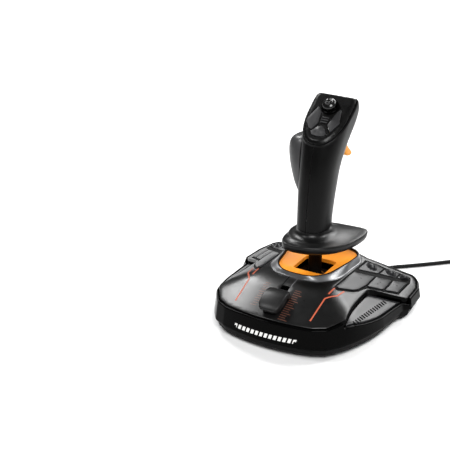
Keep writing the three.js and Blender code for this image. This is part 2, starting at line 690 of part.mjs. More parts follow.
const hatAxis = HEAD_FRAME.clone().multiply(shift(0, HAT_V, 0));
const hatCollar = sleeve([0, 0, HEAD_CROWN + GAP], [0, 0, HEAD_CROWN + 2.6], HAT_R, HAT_R - 2.2);
place('hat_collar', hatCollar.transform(hatAxis.elements), GLOSS_BLACK);
const spider = plus(
  bar([0, 0, 1.6], [0, 0, 4.4], 4.4, 18),
  bar([-5.6, 0, 3], [5.6, 0, 3], 1.1, 10),
);
place('hat_spider', spider.transform(hatAxis.elements), SATIN_GREY);
const hatProfile = [
  [0, 4.8], [3.2, 4.8], [3.2, 8.2], [6.6, 8.8], [7.4, 10], [6.4, 11.8], [4.2, 13.2], [2.6, 15.4], [0, 16],
];
const hatLathe = new THREE.LatheGeometry(hatProfile.map(([r, h]) => new THREE.Vector2(r, h)), 24);
hatLathe.rotateX(Math.PI / 2);
place('hat_cap', solid(hatLathe).transform(hatAxis.elements), SATIN_BLACK);

// Trigger blade: side outline in y and z.
const triggerOutline = [
  [36.6, 207.8], [42.4, 207.4], [44.6, 200], [45.4, 188], [48.4, 178.4], [55, 170.4], [64.2, 161.4],
  [63.6, 158.2], [59, 157.6], [50.6, 161.6], [43.8, 169.6], [39.6, 180], [37, 192], [35.6, 202],
];
const bladeSolid = prism(triggerOutline, -TRIGGER_HALF, TRIGGER_HALF, triggerSide);
place('trigger', minus(bladeSolid, bar(...pinLine(20), 1.9, 14)), ORANGE);
place('trigger_pin', bar(...pinLine(PIN_REACH), PIN_R, 14), STEEL);

// Palm rest: a ledge that spreads to the player's right and forward.
const PALM_OUTLINE = [
  [2, -41.5], [19, -35], [33, -23], [42, -6.5], [46, 12], [46.5, 27], [43.5, 35], [36, 37], [20, 36],
  [4, 34], [-13, 26], [-22, 16], [-26.5, 3], [-27.5, -12], [-26, -26], [-21, -37], [-13.5, -41.5],
];
function makePalmRest() {
  const rim = PALM_OUTLINE;
  const neck = (grow, z) => rim.map(([x, y]) => {
    const angle = Math.atan2(y - PALM_NECK_Y, x);
    return [(17 + grow) * Math.cos(angle), PALM_NECK_Y + (20 + grow) * Math.sin(angle), z];
  });
  const body = loft([
    ring(grown(rim, -6), PALM_Z - PALM_WALL - 2),
    ring(grown(rim, -1.5), PALM_Z - PALM_WALL),
    ring(rim, PALM_Z),
    neck(9, PALM_Z + 2.4),
    neck(1.5, PALM_Z + 5.6),
    neck(-1, GRIP_BOTTOM_Z - GAP),
  ]);
  return body.subtract(bar([0, 0, 60], [0, 0, 120], SHAFT_R + GAP, 20));
}
place('palm_rest', makePalmRest(), SATIN_BLACK);
const bearing = sleeve([0, 0, GRIP_BOTTOM_Z + 4], [0, 0, GRIP_BOTTOM_Z + 14], 11, SHAFT_R + 0.2);
place('twist_bearing', bearing, STEEL);
place('grip_board', box(-11, 11, -6, 6, 150, 151.6), BOARD_GREEN);

// Thumb rest: a shelf on the left flank.
function makeThumbRest() {
  const stations = [
    [131, 1, 2], [144, 8, 9], [160, 14, 14], [174, 17.6, 16],
    [184, 17.4, 16], [189.6, 12, 14], [192, 4, 10],
  ];
  const rings = stations.map(([z, out, deep]) => {
    const wall = -19.6 - (z - 160) * 0.06;
    const y = 6 + (z - 160) * 0.32;
    const points = [];
    for (let i = 0; i < 16; i += 1) {
      const angle = (i + 0.5) * Math.PI / 8;
      points.push([wall + out * Math.cos(angle), y + deep * Math.sin(angle), z]);
    }
    return points;
  });
  return loft(rings).subtract(gripLoft(-GAP));
}
place('thumb_rest', makeThumbRest(), SATIN_GREY);

// ---------------------------------------------------------------- lead
function tube(points, radius) {
  const line = new THREE.CatmullRomCurve3(points.map(([x, y, z]) => new THREE.Vector3(x, y - GIMBAL_Y, z)));
  const section = new THREE.Shape();
  section.absarc(0, 0, radius, 0, 2 * Math.PI, false);
  return solid(new THREE.ExtrudeGeometry(section, { steps: 22, curveSegments: 5, extrudePath: line }));
}
place('cord_lead', tube(CORD_ROUTE, CORD_R), CORD_BLACK);

// Rounded ring that the wound turns fill; grow widens its section.
function coilRing(grow) {
  const middle = new THREE.Vector2(COIL_R, COIL_HALF + 0.02);
  const reach = (COIL_HALF + grow) / Math.cos(Math.PI / 8);
  const profile = [];
  for (let i = 0; i <= 8; i += 1) {
    const angle = (i % 8 + 0.5) * Math.PI / 4;
    profile.push(new THREE.Vector2(reach * Math.cos(angle), reach * Math.sin(angle)).add(middle));
  }
  const geometry = new THREE.LatheGeometry(profile, 36);
  geometry.rotateX(Math.PI / 2);
  return solid(geometry, shift(COIL_CENTRE[0], COIL_CENTRE[1] - GIMBAL_Y, 0));
}
place('cord_coil', coilRing(0), CORD_BLACK);

function makeTie() {
  const direction = new THREE.Matrix4().makeRotationZ(rad(TIE_ANGLE));
  direction.setPosition(COIL_CENTRE[0], COIL_CENTRE[1] - GIMBAL_Y, 0);
  const slab = box(10, 40, -2.5, 2.5, 0.3, 30).transform(direction.elements);
  return coilRing(1.4).subtract(coilRing(GAP)).intersect(slab);
}
place('cord_tie', makeTie(), RUBBER);

// USB plug beside the coil, pointing towards the player.
function makePlugBody() {
  const y = PLUG_Y - GIMBAL_Y;
  const sleeveEnd = bar([PLUG_X, y - 11, PLUG_Z], [PLUG_X, y, PLUG_Z], 3.8, 16, 2.9);
  const block = box(PLUG_X - 8, PLUG_X + 8, y - 33, y - 10, PLUG_Z - 4.2, PLUG_Z + 4.2);
  return sleeveEnd.add(block);
}
place('usb_plug_body', makePlugBody(), CORD_BLACK);

function makePlugShell() {
  const y = PLUG_Y - GIMBAL_Y - 33 - GAP;
  const outer = box(PLUG_X - 6, PLUG_X + 6, y - 18.4, y, PLUG_Z - 2.25, PLUG_Z + 2.25);
  return outer.subtract(box(PLUG_X - 5.6, PLUG_X + 5.6, y - 30, y - 3, PLUG_Z - 0.1, PLUG_Z + 1.85));
}
place('usb_plug_shell', makePlugShell(), STEEL);

export default stick;
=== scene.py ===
import json
import math

import bmesh
import bpy
import numpy as np
from mathutils import Matrix, Vector
from mathutils.geometry import delaunay_2d_cdt


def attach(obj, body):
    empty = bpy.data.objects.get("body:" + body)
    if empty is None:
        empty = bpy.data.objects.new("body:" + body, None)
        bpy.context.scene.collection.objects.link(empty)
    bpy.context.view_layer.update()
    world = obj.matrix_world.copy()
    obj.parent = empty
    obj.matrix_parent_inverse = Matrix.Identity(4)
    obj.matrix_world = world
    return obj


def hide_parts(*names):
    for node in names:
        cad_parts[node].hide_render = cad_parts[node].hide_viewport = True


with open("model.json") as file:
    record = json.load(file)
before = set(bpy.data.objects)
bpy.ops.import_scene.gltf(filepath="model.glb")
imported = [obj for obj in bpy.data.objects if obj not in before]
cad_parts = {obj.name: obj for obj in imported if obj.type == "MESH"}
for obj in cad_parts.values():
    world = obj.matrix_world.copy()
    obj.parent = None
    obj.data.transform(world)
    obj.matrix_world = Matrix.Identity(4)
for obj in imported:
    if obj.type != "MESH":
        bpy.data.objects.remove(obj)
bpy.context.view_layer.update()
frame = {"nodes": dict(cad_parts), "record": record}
nodes = frame["nodes"]

# ---------------------------------------------------------------- dimensions (mm, from the gimbal axis)
GIMBAL_Y = 20.3
GAP = 0.3
WALL = 2.6
OUTLINE_Z = 37
FLARE_FRONT, FLARE_REAR, FLARE_Y = 0.001, 0.0022, 0.001
FRONT_Y, FRONT_RADIUS = -112.7, 171.5
SIDE_HALF_WIDTH, SIDE_CENTRE_Y, SIDE_LENGTH, SIDE_POWER = 92.2, 4, 128.9, 2 / 2.3
WING_CORNERS = [(92.4, 16.8), (98, 24.4), (96, 54), (91.4, 65.5), (84.4, 73)]
REAR_POINTS = [(63.8, 59.5), (43, 47), (31, 48), (16, 52)]
REAR_Y = 53

APRON_Z, APRON_Y, APRON_SLOPE, APRON_CROWN = 54, -66.6, 0.39, 0.0016
WING_Z, WING_X, WING_Y, WING_SLOPE_X, WING_SLOPE_Y = 47.5, 54.3, -1.9, 0.491, 0.059
MIDDLE_Z, REAR_DROP_Y, BLEND = 56.5, 36, 6
PANEL_DROP, PANEL_THICK = 6.3, 2.2
RIDGE = [(78, -104), (75.5, -90), (71.5, -68), (68.2, -45), (66.4, -12), (70, -3), (95.5, 22.5), (103, 30)]
BAND_Z, BAND_ROLL, BAND_LIP = 13.3, 1.2, 0.4

DISH_POINTS = [(0, -44.5), (12, -43.5), (21, -38.5), (29, -27), (33, -8), (36, 10), (36.5, 26), (30, 36),
               (16, 40.5)]
DISH_REAR_Y, DISH_Z, WELL_Z, WELL_HALF = 42, 57.5, 51, (17.8, 17.2)
COLLAR_POINTS = [(0, -48.6), (13, -48), (26, -44.5), (36.5, -33), (40.4, -18), (40.8, 6), (40.8, 28),
                 (34, 40.5), (17, 45)]
COLLAR_REAR_Y, COLLAR_Z, COLLAR_FOOT_Z = 46.5, 60, 50

CLUSTER = [(43.4, -44), (48.2, -44), (58.6, -29.6), (61.6, -21.5), (63.8, -8), (77.6, 8), (88.6, 21),
           (87.8, 54.5), (85, 62.6), (81.6, 63.4), (64.6, 50.6), (53, 44.2), (43.4, 37.6)]
KEYS = {
    "front_inner": [(45, -41.5), (47.6, -41.5), (57.4, -28), (60.2, -20.5), (62, -4.6), (61, 19.6),
                    (45, 2.4)],
    "front_middle": [(63.8, -4.4), (76, 9.2), (75.4, 25), (74.2, 34), (62.6, 21.4)],
    "front_outer": [(77.8, 11.2), (87.2, 22.2), (86.6, 49.6), (76, 36), (77.2, 25.8)],
    "rear_inner": [(45, 10.4), (60.6, 28.2), (60.6, 44), (53.8, 42.8), (45, 36.4)],
    "rear_middle": [(62.2, 29.8), (74.6, 42.8), (74.6, 56.6), (64.8, 49.2), (62.2, 47.8)],
    "rear_outer": [(76.2, 44.8), (86.4, 56.8), (84, 61.6), (81, 61.8), (76.2, 58)],
}
KEY_TOP, KEY_BOTTOM, FRAME_TOP, FRAME_FLOOR = 0.9, -5.2, -0.4, -6.8
DOME_REACH, DOME_HEIGHT, DOME_SINK = 6.0, 2.8, 0.5
DOMES = {"rear_inner": (51.4, 32.6), "rear_middle": (67.6, 46.8), "rear_outer": (80.6, 56)}
DOTS = {"front_inner": [(53.9, -0.6)], "front_middle": [(68.5, 10.6), (69, 16.4)],
        "front_outer": [(82.1, 31.5)]}

SLOT_HALF, SLOT_FRONT, SLOT_REAR = 4.7, -99.5, -66
SLOT_LEAN = 1.3  # room for the carriage, which leans with the apron
KNOB_Y, KNOB_HALF_X, KNOB_HALF_Y, KNOB_FOOT_X, KNOB_FOOT_Y = -89.5, 12.2, 17, 10.4, 14.6

PALM_Z, PALM_NECK_Y, PALM_BORE_R, PALM_DEPTH, GRIP_BOTTOM_Z = 88.8, -5.6, 7.6, 10, 98
PALM_OUTLINE = [(2, -41.5), (19, -35), (33, -23), (42, -6.5), (46, 12), (46.5, 27), (43.5, 35), (36, 37),
                (20, 36), (4, 34), (-13, 26), (-22, 16), (-26.5, 3), (-27.5, -12), (-26, -26), (-21, -37),
                (-13.5, -41.5)]
# each row: height, near side, far side, half width, squareness of the far side
GRIP_STATIONS = np.array([
    (98, -25.6, 14.4, 16.8, 2.5), (106, -25.2, 15.2, 16.8, 2.5), (122, -24.4, 17.6, 17.3, 2.5),
    (142, -22.4, 21.6, 18.3, 2.5), (162, -19.4, 26.8, 19.2, 2.6), (180, -14.9, 34, 21, 2.9),
    (196, -9.6, 41, 23, 3.8), (208, -4, 44.6, 24.3, 6), (218, 2, 47, 24.8, 7), (228, 8, 44, 24.6, 7)], float)
GRIP_NEAR_SQUARENESS, GRIP_WALL = 2.4, 2
TRIGGER_SLOT = ((-9, 31, 183), (9, 60, 211))
HEAD_TILT, HEAD_Y, HEAD_Z, HEAD_CROWN, HAT_V, GRIP_TOP_Z = 35, 15.75, 210.2, 4, 13, 228

CORD_R = 2.2
CORD_ROUTE = [(0, 83.6, 11), (0, 88, 10.2), (0.6, 94, 7), (2.6, 101, 3.8), (7.6, 111, 2.5), (15, 122, 2.4),
              (25, 134.2, 2.4), (37, 148, 2.4), (49, 158.8, 2.4), (62.7, 170.9, 2.4), (76, 183.3, 2.4),
              (90, 196.9, 2.4), (104.5, 210.8, 2.4)]
LEAD_Z, LEAD_END_R = 2.4, 34.1
COIL_CENTRE, COIL_R, COIL_TURNS, COIL_STEPS = (138.5, 208.2), 25.3, 9, 400
PLUG_X, PLUG_Y, PLUG_Z = COIL_CENTRE[0] + COIL_R + 2 * CORD_R, COIL_CENTRE[1] - 17.5, 4.3

HANDS = ((1, "right"), (-1, "left"))


def metres(points):
    """Millimetres from the gimbal axis to metres in the shared frame."""
    out = np.array(points, float).reshape(-1, 3)
    out[:, 1] += GIMBAL_Y
    return out * 0.001


# ---------------------------------------------------------------- camera, light, floor
CAMERA_AZIMUTH, CAMERA_ELEVATION = 30.5, 24.3
camera_data = bpy.data.cameras.new("camera")
camera_data.sensor_width = 36
camera_data.lens = 96
camera_data.clip_end = 20
camera = bpy.data.objects.new("camera", camera_data)
camera.location = metres([(503.6, -1045.2, 619.5)])[0]
camera.rotation_euler = (math.radians(90 - CAMERA_ELEVATION), 0, math.radians(CAMERA_AZIMUTH))
bpy.context.scene.collection.objects.link(camera)
bpy.context.scene.camera = camera


def lamp(name, place, size, watts, target=(0, 0, 0.08), tint=(1, 1, 1)):
    data = bpy.data.lights.new(name, "AREA")
    data.shape = "RECTANGLE"
    data.size, data.size_y = size
    data.energy = watts
    data.color = tint
    lamp_object = bpy.data.objects.new(name, data)
    lamp_object.location = place
    aim = Vector(target) - Vector(place)
    lamp_object.rotation_euler = aim.to_track_quat("-Z", "Y").to_euler()
    bpy.context.scene.collection.objects.link(lamp_object)


lamp("sheen_light", (-1.15, 0.62, 1.35), (0.4, 0.4), 18)
lamp("key_light", (-0.85, -0.75, 1.5), (0.3, 0.3), 9)
lamp("front_light", (1.0, -1.7, 2.1), (1.2, 1.2), 80)
lamp("side_light", (0.95, 0.8, 1.2), (0.35, 0.35), 15)
lamp("back_light", (0.1, 1.6, 1.1), (1.2, 0.4), 24)

world = bpy.data.worlds.new("studio")
bpy.context.scene.world = world
world.use_nodes = True
world.node_tree.nodes["Background"].inputs["Color"].default_value = (1, 1, 1, 1)
world.node_tree.nodes["Background"].inputs["Strength"].default_value = 0.1
bpy.context.scene.view_settings.view_transform = "Standard"


# ---------------------------------------------------------------- materials
def node(tree, kind, **values):
    made = tree.nodes.new(kind)
    for key, value in values.items():
        setattr(made, key, value)
    return made


def noise(tree, scale, detail=3, roughness=0.55, stretch=None):
    """Solid noise in the piece's own coordinates, which are metres."""
    coords = node(tree, "ShaderNodeTexCoord")
    texture = node(tree, "ShaderNodeTexNoise")
    texture.inputs["Scale"].default_value = scale
    texture.inputs["Detail"].default_value = detail
    texture.inputs["Roughness"].default_value = roughness
    source = coords.outputs["Object"]
    if stretch:
        mapping = node(tree, "ShaderNodeMapping")
        mapping.inputs["Scale"].default_value = stretch
        tree.links.new(source, mapping.inputs["Vector"])
        source = mapping.outputs["Vector"]
    tree.links.new(source, texture.inputs["Vector"])
    return texture.outputs["Fac"]


def ramp(tree, source, low, high, start=0.3, end=0.7):
    """Colour or grey between two values, driven by a noise."""
    made = node(tree, "ShaderNodeValToRGB")
    grey = lambda v: (*v, 1) if isinstance(v, tuple) else (v, v, v, 1)
    made.color_ramp.elements[0].position = start
    made.color_ramp.elements[1].position = end
    made.color_ramp.elements[0].color = grey(low)
    made.color_ramp.elements[1].color = grey(high)
    tree.links.new(source, made.inputs["Fac"])
    return made.outputs["Color"]


def finish(name, colour, rough, vary=0.14, spread=0.03, grain=2600, depth=0.000005, metallic=0, coat=0,
           specular=0.5, stretch=None, painted_glow=0, wear=0.0):
    """Moulded or painted surface: cloudy tint, uneven gloss, fine grain, rubbed edges, and where asked a
    painted glow that makes the surface emit light.
    """
    material = bpy.data.materials.new(name)
    material.use_nodes = True
    tree = material.node_tree
    shader = tree.nodes["Principled BSDF"]
    shader.inputs["Metallic"].default_value = metallic
    shader.inputs["Coat Weight"].default_value = coat
    shader.inputs["Coat Roughness"].default_value = 0.04
    shader.inputs["Specular IOR Level"].default_value = specular
    cloudy = noise(tree, 45, 4)
    low = tuple(c * (1 - vary) for c in colour)
    high = tuple(min(c * (1 + vary), 1) for c in colour)
    tint = ramp(tree, cloudy, low, high)
    if wear:
        edge = node(tree, "ShaderNodeNewGeometry")
        rubbed = ramp(tree, edge.outputs["Pointiness"], 0.0, wear, 0.52, 0.6)
        mix = node(tree, "ShaderNodeMix", data_type="RGBA")
        tree.links.new(rubbed, mix.inputs["Factor"])
        tree.links.new(tint, mix.inputs["A"])
        mix.inputs["B"].default_value = (*[min(c * 2.4 + 0.05, 1) for c in colour], 1)
        tint = mix.outputs["Result"]
    tree.links.new(tint, shader.inputs["Base Color"])
    # painted glow: the surface emits its own tint as light, though it is no lamp
    if painted_glow:
        tree.links.new(tint, shader.inputs["Emission Color"])
        shader.inputs["Emission Strength"].default_value = painted_glow
    smudge = noise(tree, 90, 5, 0.65)
    tree.links.new(ramp(tree, smudge, max(rough - spread, 0.02), rough + spread), shader.inputs["Roughness"])
    if depth:
        bump = node(tree, "ShaderNodeBump")
        bump.inputs["Distance"].default_value = depth
        bump.inputs["Strength"].default_value = 0.6
        tree.links.new(noise(tree, grain, 2, stretch=stretch), bump.inputs["Height"])
        tree.links.new(bump.outputs["Normal"], shader.inputs["Normal"])
    return material


# colour, roughness and whatever else differs from a plain finish
FINISHES = {
    "shell_black": ((0.003, 0.003, 0.003), 0.30, dict(specular=0.32, wear=0.15)),
    "band_gloss": ((0.001, 0.001, 0.001), 0.16, dict(depth=0, specular=0.03)),
    "tray_black": ((0.004, 0.004, 0.004), 0.55, dict(specular=0.06)),
    "collar_silver": ((0.19, 0.193, 0.198), 0.34, dict(vary=0.06, metallic=0.8, grain=5200)),
    # the dish has a painted glow: it emits light though it is no lamp
    "dish_orange": ((0.86, 0.29, 0.02), 0.45, dict(vary=0.08, depth=0, specular=0.1, painted_glow=0.24)),
    "panel_grey": ((0.008, 0.008, 0.009), 0.34, dict(vary=0.1, specular=0.34, depth=0.000002)),
    "rubber": ((0.008, 0.008, 0.008), 0.8, dict(depth=0.00006, grain=1800, specular=0.15)),
    "steel": ((0.52, 0.52, 0.53), 0.28, dict(metallic=1, vary=0.08, stretch=(1, 0.06, 1))),
    "ballast_iron": ((0.08, 0.078, 0.075), 0.6, dict(metallic=0.8, depth=0.0001, grain=900)),
    "board_green": ((0.01, 0.09, 0.03), 0.35, dict(coat=0.3)),
    "key_grey": ((0.012, 0.012, 0.013), 0.30, dict(vary=0.1, specular=0.17, depth=0.000002)),
    "thumb_grey": ((0.017, 0.017, 0.018), 0.42, dict(vary=0.1, specular=0.3, grain=4200, depth=0.00002)),
    "cord_black": ((0.006, 0.006, 0.006), 0.5, dict(grain=1400, specular=0.1)),
    "palm_gloss": ((0.003, 0.003, 0.003), 0.34, dict(specular=0.24)),
    "grip_black": ((0.002, 0.002, 0.002), 0.34, dict(specular=0.11, wear=0.1)),
    "thumb_rest_grey": ((0.028, 0.028, 0.029), 0.36, dict(vary=0.1, specular=0.6)),
    "head_black": ((0.002, 0.002, 0.002), 0.28, dict(specular=0.16, wear=0.15)),
    "trigger_orange": ((0.72, 0.27, 0.008), 0.42, dict(vary=0.08, depth=0, specular=0.2)),
    "hat_black": ((0.003, 0.003, 0.003), 0.22, dict(specular=0.45, wear=0.2)),
    "knob_black": ((0.005, 0.005, 0.005), 0.38, dict(specular=0.28, wear=0.1)),
}
LOOKS = {name: finish(name, colour, rough, **more) for name, (colour, rough, more) in FINISHES.items()}
PRINT_ORANGE = finish("print_orange", (0.42, 0.085, 0.040), 0.45, depth=0, specular=0.2)
PRINT_TICK = finish("print_tick", (0.16, 0.066, 0.045), 0.5, depth=0, specular=0.2)
MATT_BLACK = finish("matt_black", (0.003, 0.003, 0.003), 0.6, depth=0, specular=0.06)
# painted highlight: a lighter grey finish for the strip that stands for a glint on the slot's right edge
PAINTED_HIGHLIGHT_EDGE = finish("painted_highlight_edge", (0.11, 0.11, 0.115), 0.45, depth=0, specular=0.3)
PRINT_WHITE = finish("print_white", (0.72, 0.72, 0.70), 0.4, vary=0.04, depth=0)
FLOOR_LOOK = finish("floor_white", (0.82, 0.82, 0.82), 0.75, vary=0.01, depth=0, specular=0.1)

for part in frame["record"]["subparts"]:
    carried = nodes[part["node"]]
    carried.data.materials.clear()
    carried.data.materials.append(LOOKS[part["material_slot"]])


# ---------------------------------------------------------------- mesh code
def moved(points, matrix):
    """Points carried by a 4 by 4 matrix."""
    matrix = np.array(matrix)
    return points @ matrix[:3, :3].T + matrix[:3, 3]


def make(name, points, faces, look, body, stands_for=(), sharp=38, place=None, solid=True,
         walls=None):
    """Piece from points in millimetres, optionally in a tilted frame, smooth between its sharp edges.
    walls is a darker finish for faces that stand upright, painted shade on step and hole walls."""
    points = np.array(points, float).reshape(-1, 3)
    if place is not None:
        points = moved(points, place)
    mesh = bpy.data.meshes.new(name)
    mesh.from_pydata([tuple(p) for p in metres(points)], [], faces)
    mesh.validate()
    work = bmesh.new()
    work.from_mesh(mesh)
    bmesh.ops.remove_doubles(work, verts=work.verts, dist=2e-7)
    if solid:
        bmesh.ops.recalc_face_normals(work, faces=work.faces)
    work.to_mesh(mesh)
    work.free()
    mesh.shade_smooth()
    mesh.set_sharp_from_angle(angle=math.radians(sharp))
    mesh.materials.append(LOOKS[look] if isinstance(look, str) else look)
    # painted shade: upright faces take the darker walls finish, so step and hole walls look shaded
    if walls:
        mesh.materials.append(walls)
        for polygon in mesh.polygons:
            if abs(polygon.normal.z) < 0.5:
                polygon.material_index = 1
    piece = bpy.data.objects.new(name, mesh)
    bpy.context.scene.collection.objects.link(piece)
    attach(piece, body)
    if stands_for:
        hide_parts(*stands_for)
    return piece


def applied(piece):
    """Applies the piece's modifiers and shades it again."""
    bpy.context.view_layer.update()
    graph = bpy.context.evaluated_depsgraph_get()
    mesh = bpy.data.meshes.new_from_object(piece.evaluated_get(graph))
    if len(mesh.polygons) < 4:
        raise ValueError(f"{piece.name} came out empty")
    piece.modifiers.clear()
    piece.data = mesh
    mesh.shade_smooth()
    mesh.set_sharp_from_angle(angle=math.radians(38))
    return piece


def rolled(piece, width, segments=3, angle=32):
    """Small rolled edges on a crisp piece, without touching its mesh."""
    bevel = piece.modifiers.new("edge_roll", "BEVEL")
    bevel.width = width * 0.001
    bevel.segments = segments
    bevel.limit_method = "ANGLE"
    bevel.angle_limit = math.radians(angle)
    bevel.harden_normals = False
    for polygon in piece.data.polygons:
        polygon.use_smooth = True
    piece.data.set_sharp_from_angle(angle=math.radians(50))
    return piece


def skin(rings, closed=True, capped=False):
    """Points and faces over equal rings. closed joins the ends of a ring, capped fills the first and last."""
    rings = [np.asarray(r, float) for r in rings]
    count = len(rings[0])
    faces = []
    for band in range(len(rings) - 1):
        for i in range(count if closed else count - 1):
            j = (i + 1) % count
            low, high = band * count, (band + 1) * count
            faces.append((low + i, low + j, high + j, high + i))
    if capped:
        faces.append(tuple(reversed(range(count))))
        faces.append(tuple(range((len(rings) - 1) * count, len(rings) * count)))
    return np.vstack(rings), faces


def spline(points, count, closed=True):
    """Catmull-Rom line through the points, sampled evenly along each stretch."""
    p = np.asarray(points, float)
    n = len(p)
    spans = n if closed else n - 1
    t = np.linspace(0, spans, count, endpoint=not closed)
    k = np.minimum(t.astype(int), spans - 1)
    f = (t - k)[:, None]
    pick = (lambda i: p[i % n]) if closed else (lambda i: p[np.clip(i, 0, n - 1)])
    a, b, c, d = pick(k - 1), pick(k), pick(k + 1), pick(k + 2)
    square, cube = 2 * a - 5 * b + 4 * c - d, 3 * b - a - 3 * c + d
    return 0.5 * (2 * b + (c - a) * f + square * f ** 2 + cube * f ** 3)


def even(points, count, closed=True):
    """Resamples a line at even distances."""
    p = np.asarray(points, float)
    if closed:
        p = np.vstack([p, p[:1]])
    run = np.r_[0, np.cumsum(np.linalg.norm(np.diff(p, axis=0), axis=1))]
    s = np.linspace(0, run[-1], count, endpoint=not closed)
    return np.stack([np.interp(s, run, p[:, i]) for i in range(p.shape[1])], 1)


def rounded(points, radius, turns=4):
    """Replaces each clear corner of a closed outline with an arc."""
    p = [Vector(q) for q in points]
    out = []
    for i, here in enumerate(p):
        before, after = p[i - 1] - here, p[(i + 1) % len(p)] - here
        angle = before.angle(after)
        reach = min(radius / math.tan(angle / 2), 0.42 * before.length, 0.42 * after.length)
        if angle > math.radians(172):
            out.append(tuple(here))
            continue
        a, b = here + before.normalized() * reach, here + after.normalized() * reach
        for k in range(turns + 1):
            t = k / turns
            out.append(tuple((1 - t) ** 2 * a + 2 * t * (1 - t) * here + t * t * b))
    return np.array(out)


def split(line, step, closed=True):
    """Adds points along the long edges of an outline, or of an open line."""
    line = np.asarray(line, float)
    spans = list(zip(line, np.roll(line, -1, 0)))
    out = []
    for a, b in spans if closed else spans[:-1]:
        n = max(1, math.ceil(math.dist(a, b) / step))
        out += [a + (b - a) * k / n for k in range(n)]
    return np.array(out if closed else [*out, line[-1]])


def sideways(line):
    """Unit vectors square to a line in plan, to its right."""
    t = np.gradient(line, axis=0)
    t /= np.linalg.norm(t, axis=1)[:, None]
    return np.c_[t[:, 1], -t[:, 0]]


def signed_power(v, power):
    return np.sign(v) * np.abs(v) ** power


def offset(loop, distance):
    """Moves an outline outwards (counter-clockwise outlines) by a distance."""
    p = np.asarray(loop, float)
    before, after = p - np.roll(p, 1, 0), np.roll(p, -1, 0) - p
    square = lambda e: np.c_[e[:, 1], -e[:, 0]] / np.maximum(np.linalg.norm(e, axis=1), 1e-9)[:, None]
    na, nb = square(before), square(after)
    mean = na + nb
    mean /= np.maximum(np.linalg.norm(mean, axis=1), 1e-9)[:, None]
    reach = distance / np.maximum((mean * na).sum(1), 0.5)
    return p + mean * reach[:, None]


def turning(loop):
    p = np.asarray(loop, float)
    q = np.roll(p, -1, 0)
    return 0.5 * float((p[:, 0] * q[:, 1] - q[:, 0] * p[:, 1]).sum())


def oriented(loop, anticlockwise=True):
    p = np.asarray(loop, float)
    return p if (turning(p) > 0) == anticlockwise else p[::-1]


def inside(points, loop):
    x, y = points[:, 0], points[:, 1]
    hit = np.zeros(len(points), bool)
    for (x0, y0), (x1, y1) in zip(loop, np.roll(loop, -1, 0)):
        crossing = (y0 > y) != (y1 > y)
        if crossing.any():
            hit ^= crossing & (x < (x1 - x0) * (y - y0) / (y1 - y0 if y1 != y0 else 1e-12) + x0)
    return hit


def away(points, loop):
    """Distance from each point to an outline's edges."""
    a = np.asarray(loop, float)
    b = np.roll(a, -1, 0)
    ab = b - a
    length = np.maximum((ab ** 2).sum(1), 1e-12)
    best = np.full(len(points), 1e9)
    for start in range(0, len(points), 1500):
        p = points[start:start + 1500, None, :]
        t = np.clip(((p - a) * ab).sum(2) / length, 0, 1)
        nearest = a + t[..., None] * ab
        best[start:start + 1500] = np.sqrt(((p - nearest) ** 2).sum(2).min(1))
    return best


def smooth(t):
    t = np.clip(t, 0, 1)
    return t * t * (3 - 2 * t)


def within(points, loops):
    """Which points lie inside the first outline and outside the others."""
    kept = inside(points, loops[0])
    for hole in loops[1:]:
        kept &= ~inside(points, hole)
    return kept


def grid_within(loops, edge, step):
    """Staggered grid of points, clear of every outline."""
    low, high = loops[0].min(0), loops[0].max(0)
    xs, ys = np.arange(low[0], high[0], step), np.arange(low[1], high[1], step * 0.87)
    grid = np.array([(x + (i % 2) * step / 2, y) for i, y in enumerate(ys) for x in xs]).reshape(-1, 2)
    grid = grid[within(grid, loops)]
    for loop in loops:
        grid = grid[away(grid, loop) > edge + step * 0.5]
    return grid


def edge_rings(loops, edge, turns):
    """Rings that roll over the top edge of each outline: the points, how far each is lowered, the edges
    to keep, and the outermost ring of each outline."""
    points, drops, ties, borders = [], [], [], []
    for loop in loops:
        for k in range(turns + 1):
            a = k / turns * math.pi / 2
            ring = offset(loop, -edge * (1 - math.cos(a)))
            first = len(points)
            points += [tuple(p) for p in ring]
            drops += [edge * (1 - math.sin(a))] * len(ring)
            ties += [(first + i, first + (i + 1) % len(ring)) for i in range(len(ring))]
            if k == 0:
                borders.append(range(first, first + len(ring)))
    return points, drops, ties, borders


def plate(outer, holes, top, bottom, edge=0.6, step=3.0, turns=3, rim=None):
    """Slab over an outline with holes: rolled top edges, straight walls, and a bottom surface.
    top and bottom give heights for arrays of x and y. rim, if given, is the bottom along the walls."""
    loops = [split(oriented(outer), step)] + [split(oriented(h, False), step) for h in holes]
    points, drops, ties, borders = edge_rings(loops, edge, turns)
    grid = grid_within(loops, edge, step)
    points += [tuple(p) for p in grid]
    drops += [0.0] * len(grid)
    found, _, triangles, origin, _, _ = delaunay_2d_cdt([Vector(p) for p in points], ties, [], 0, 1e-6)
    flat = np.array([tuple(v) for v in found])
    drop = np.array([drops[o[0]] if o else 0.0 for o in origin])
    renamed = {old: new for new, olds in enumerate(origin) for old in olds}
    kept = within(np.array([flat[list(t)].mean(0) for t in triangles]), loops)
    count = len(flat)
    up = np.c_[flat, top(flat[:, 0], flat[:, 1]) - drop]
    down = np.c_[flat, bottom(flat[:, 0], flat[:, 1])]
    faces = []
    for triangle, good in zip(triangles, kept):
        if good:
            faces.append(tuple(triangle))
            faces.append(tuple(count + v for v in reversed(triangle)))
    for border in borders:
        ids = [renamed[i] for i in border]
        if rim is not None:
            down[ids, 2] = rim(flat[ids, 0], flat[ids, 1])
        for a, b in zip(ids, ids[1:] + ids[:1]):
            faces.append((a, b, count + b, count + a))
    used = sorted({v for f in faces for v in f})
    index = {v: i for i, v in enumerate(used)}
    return np.vstack([up, down])[used], [tuple(index[v] for v in f) for f in faces]


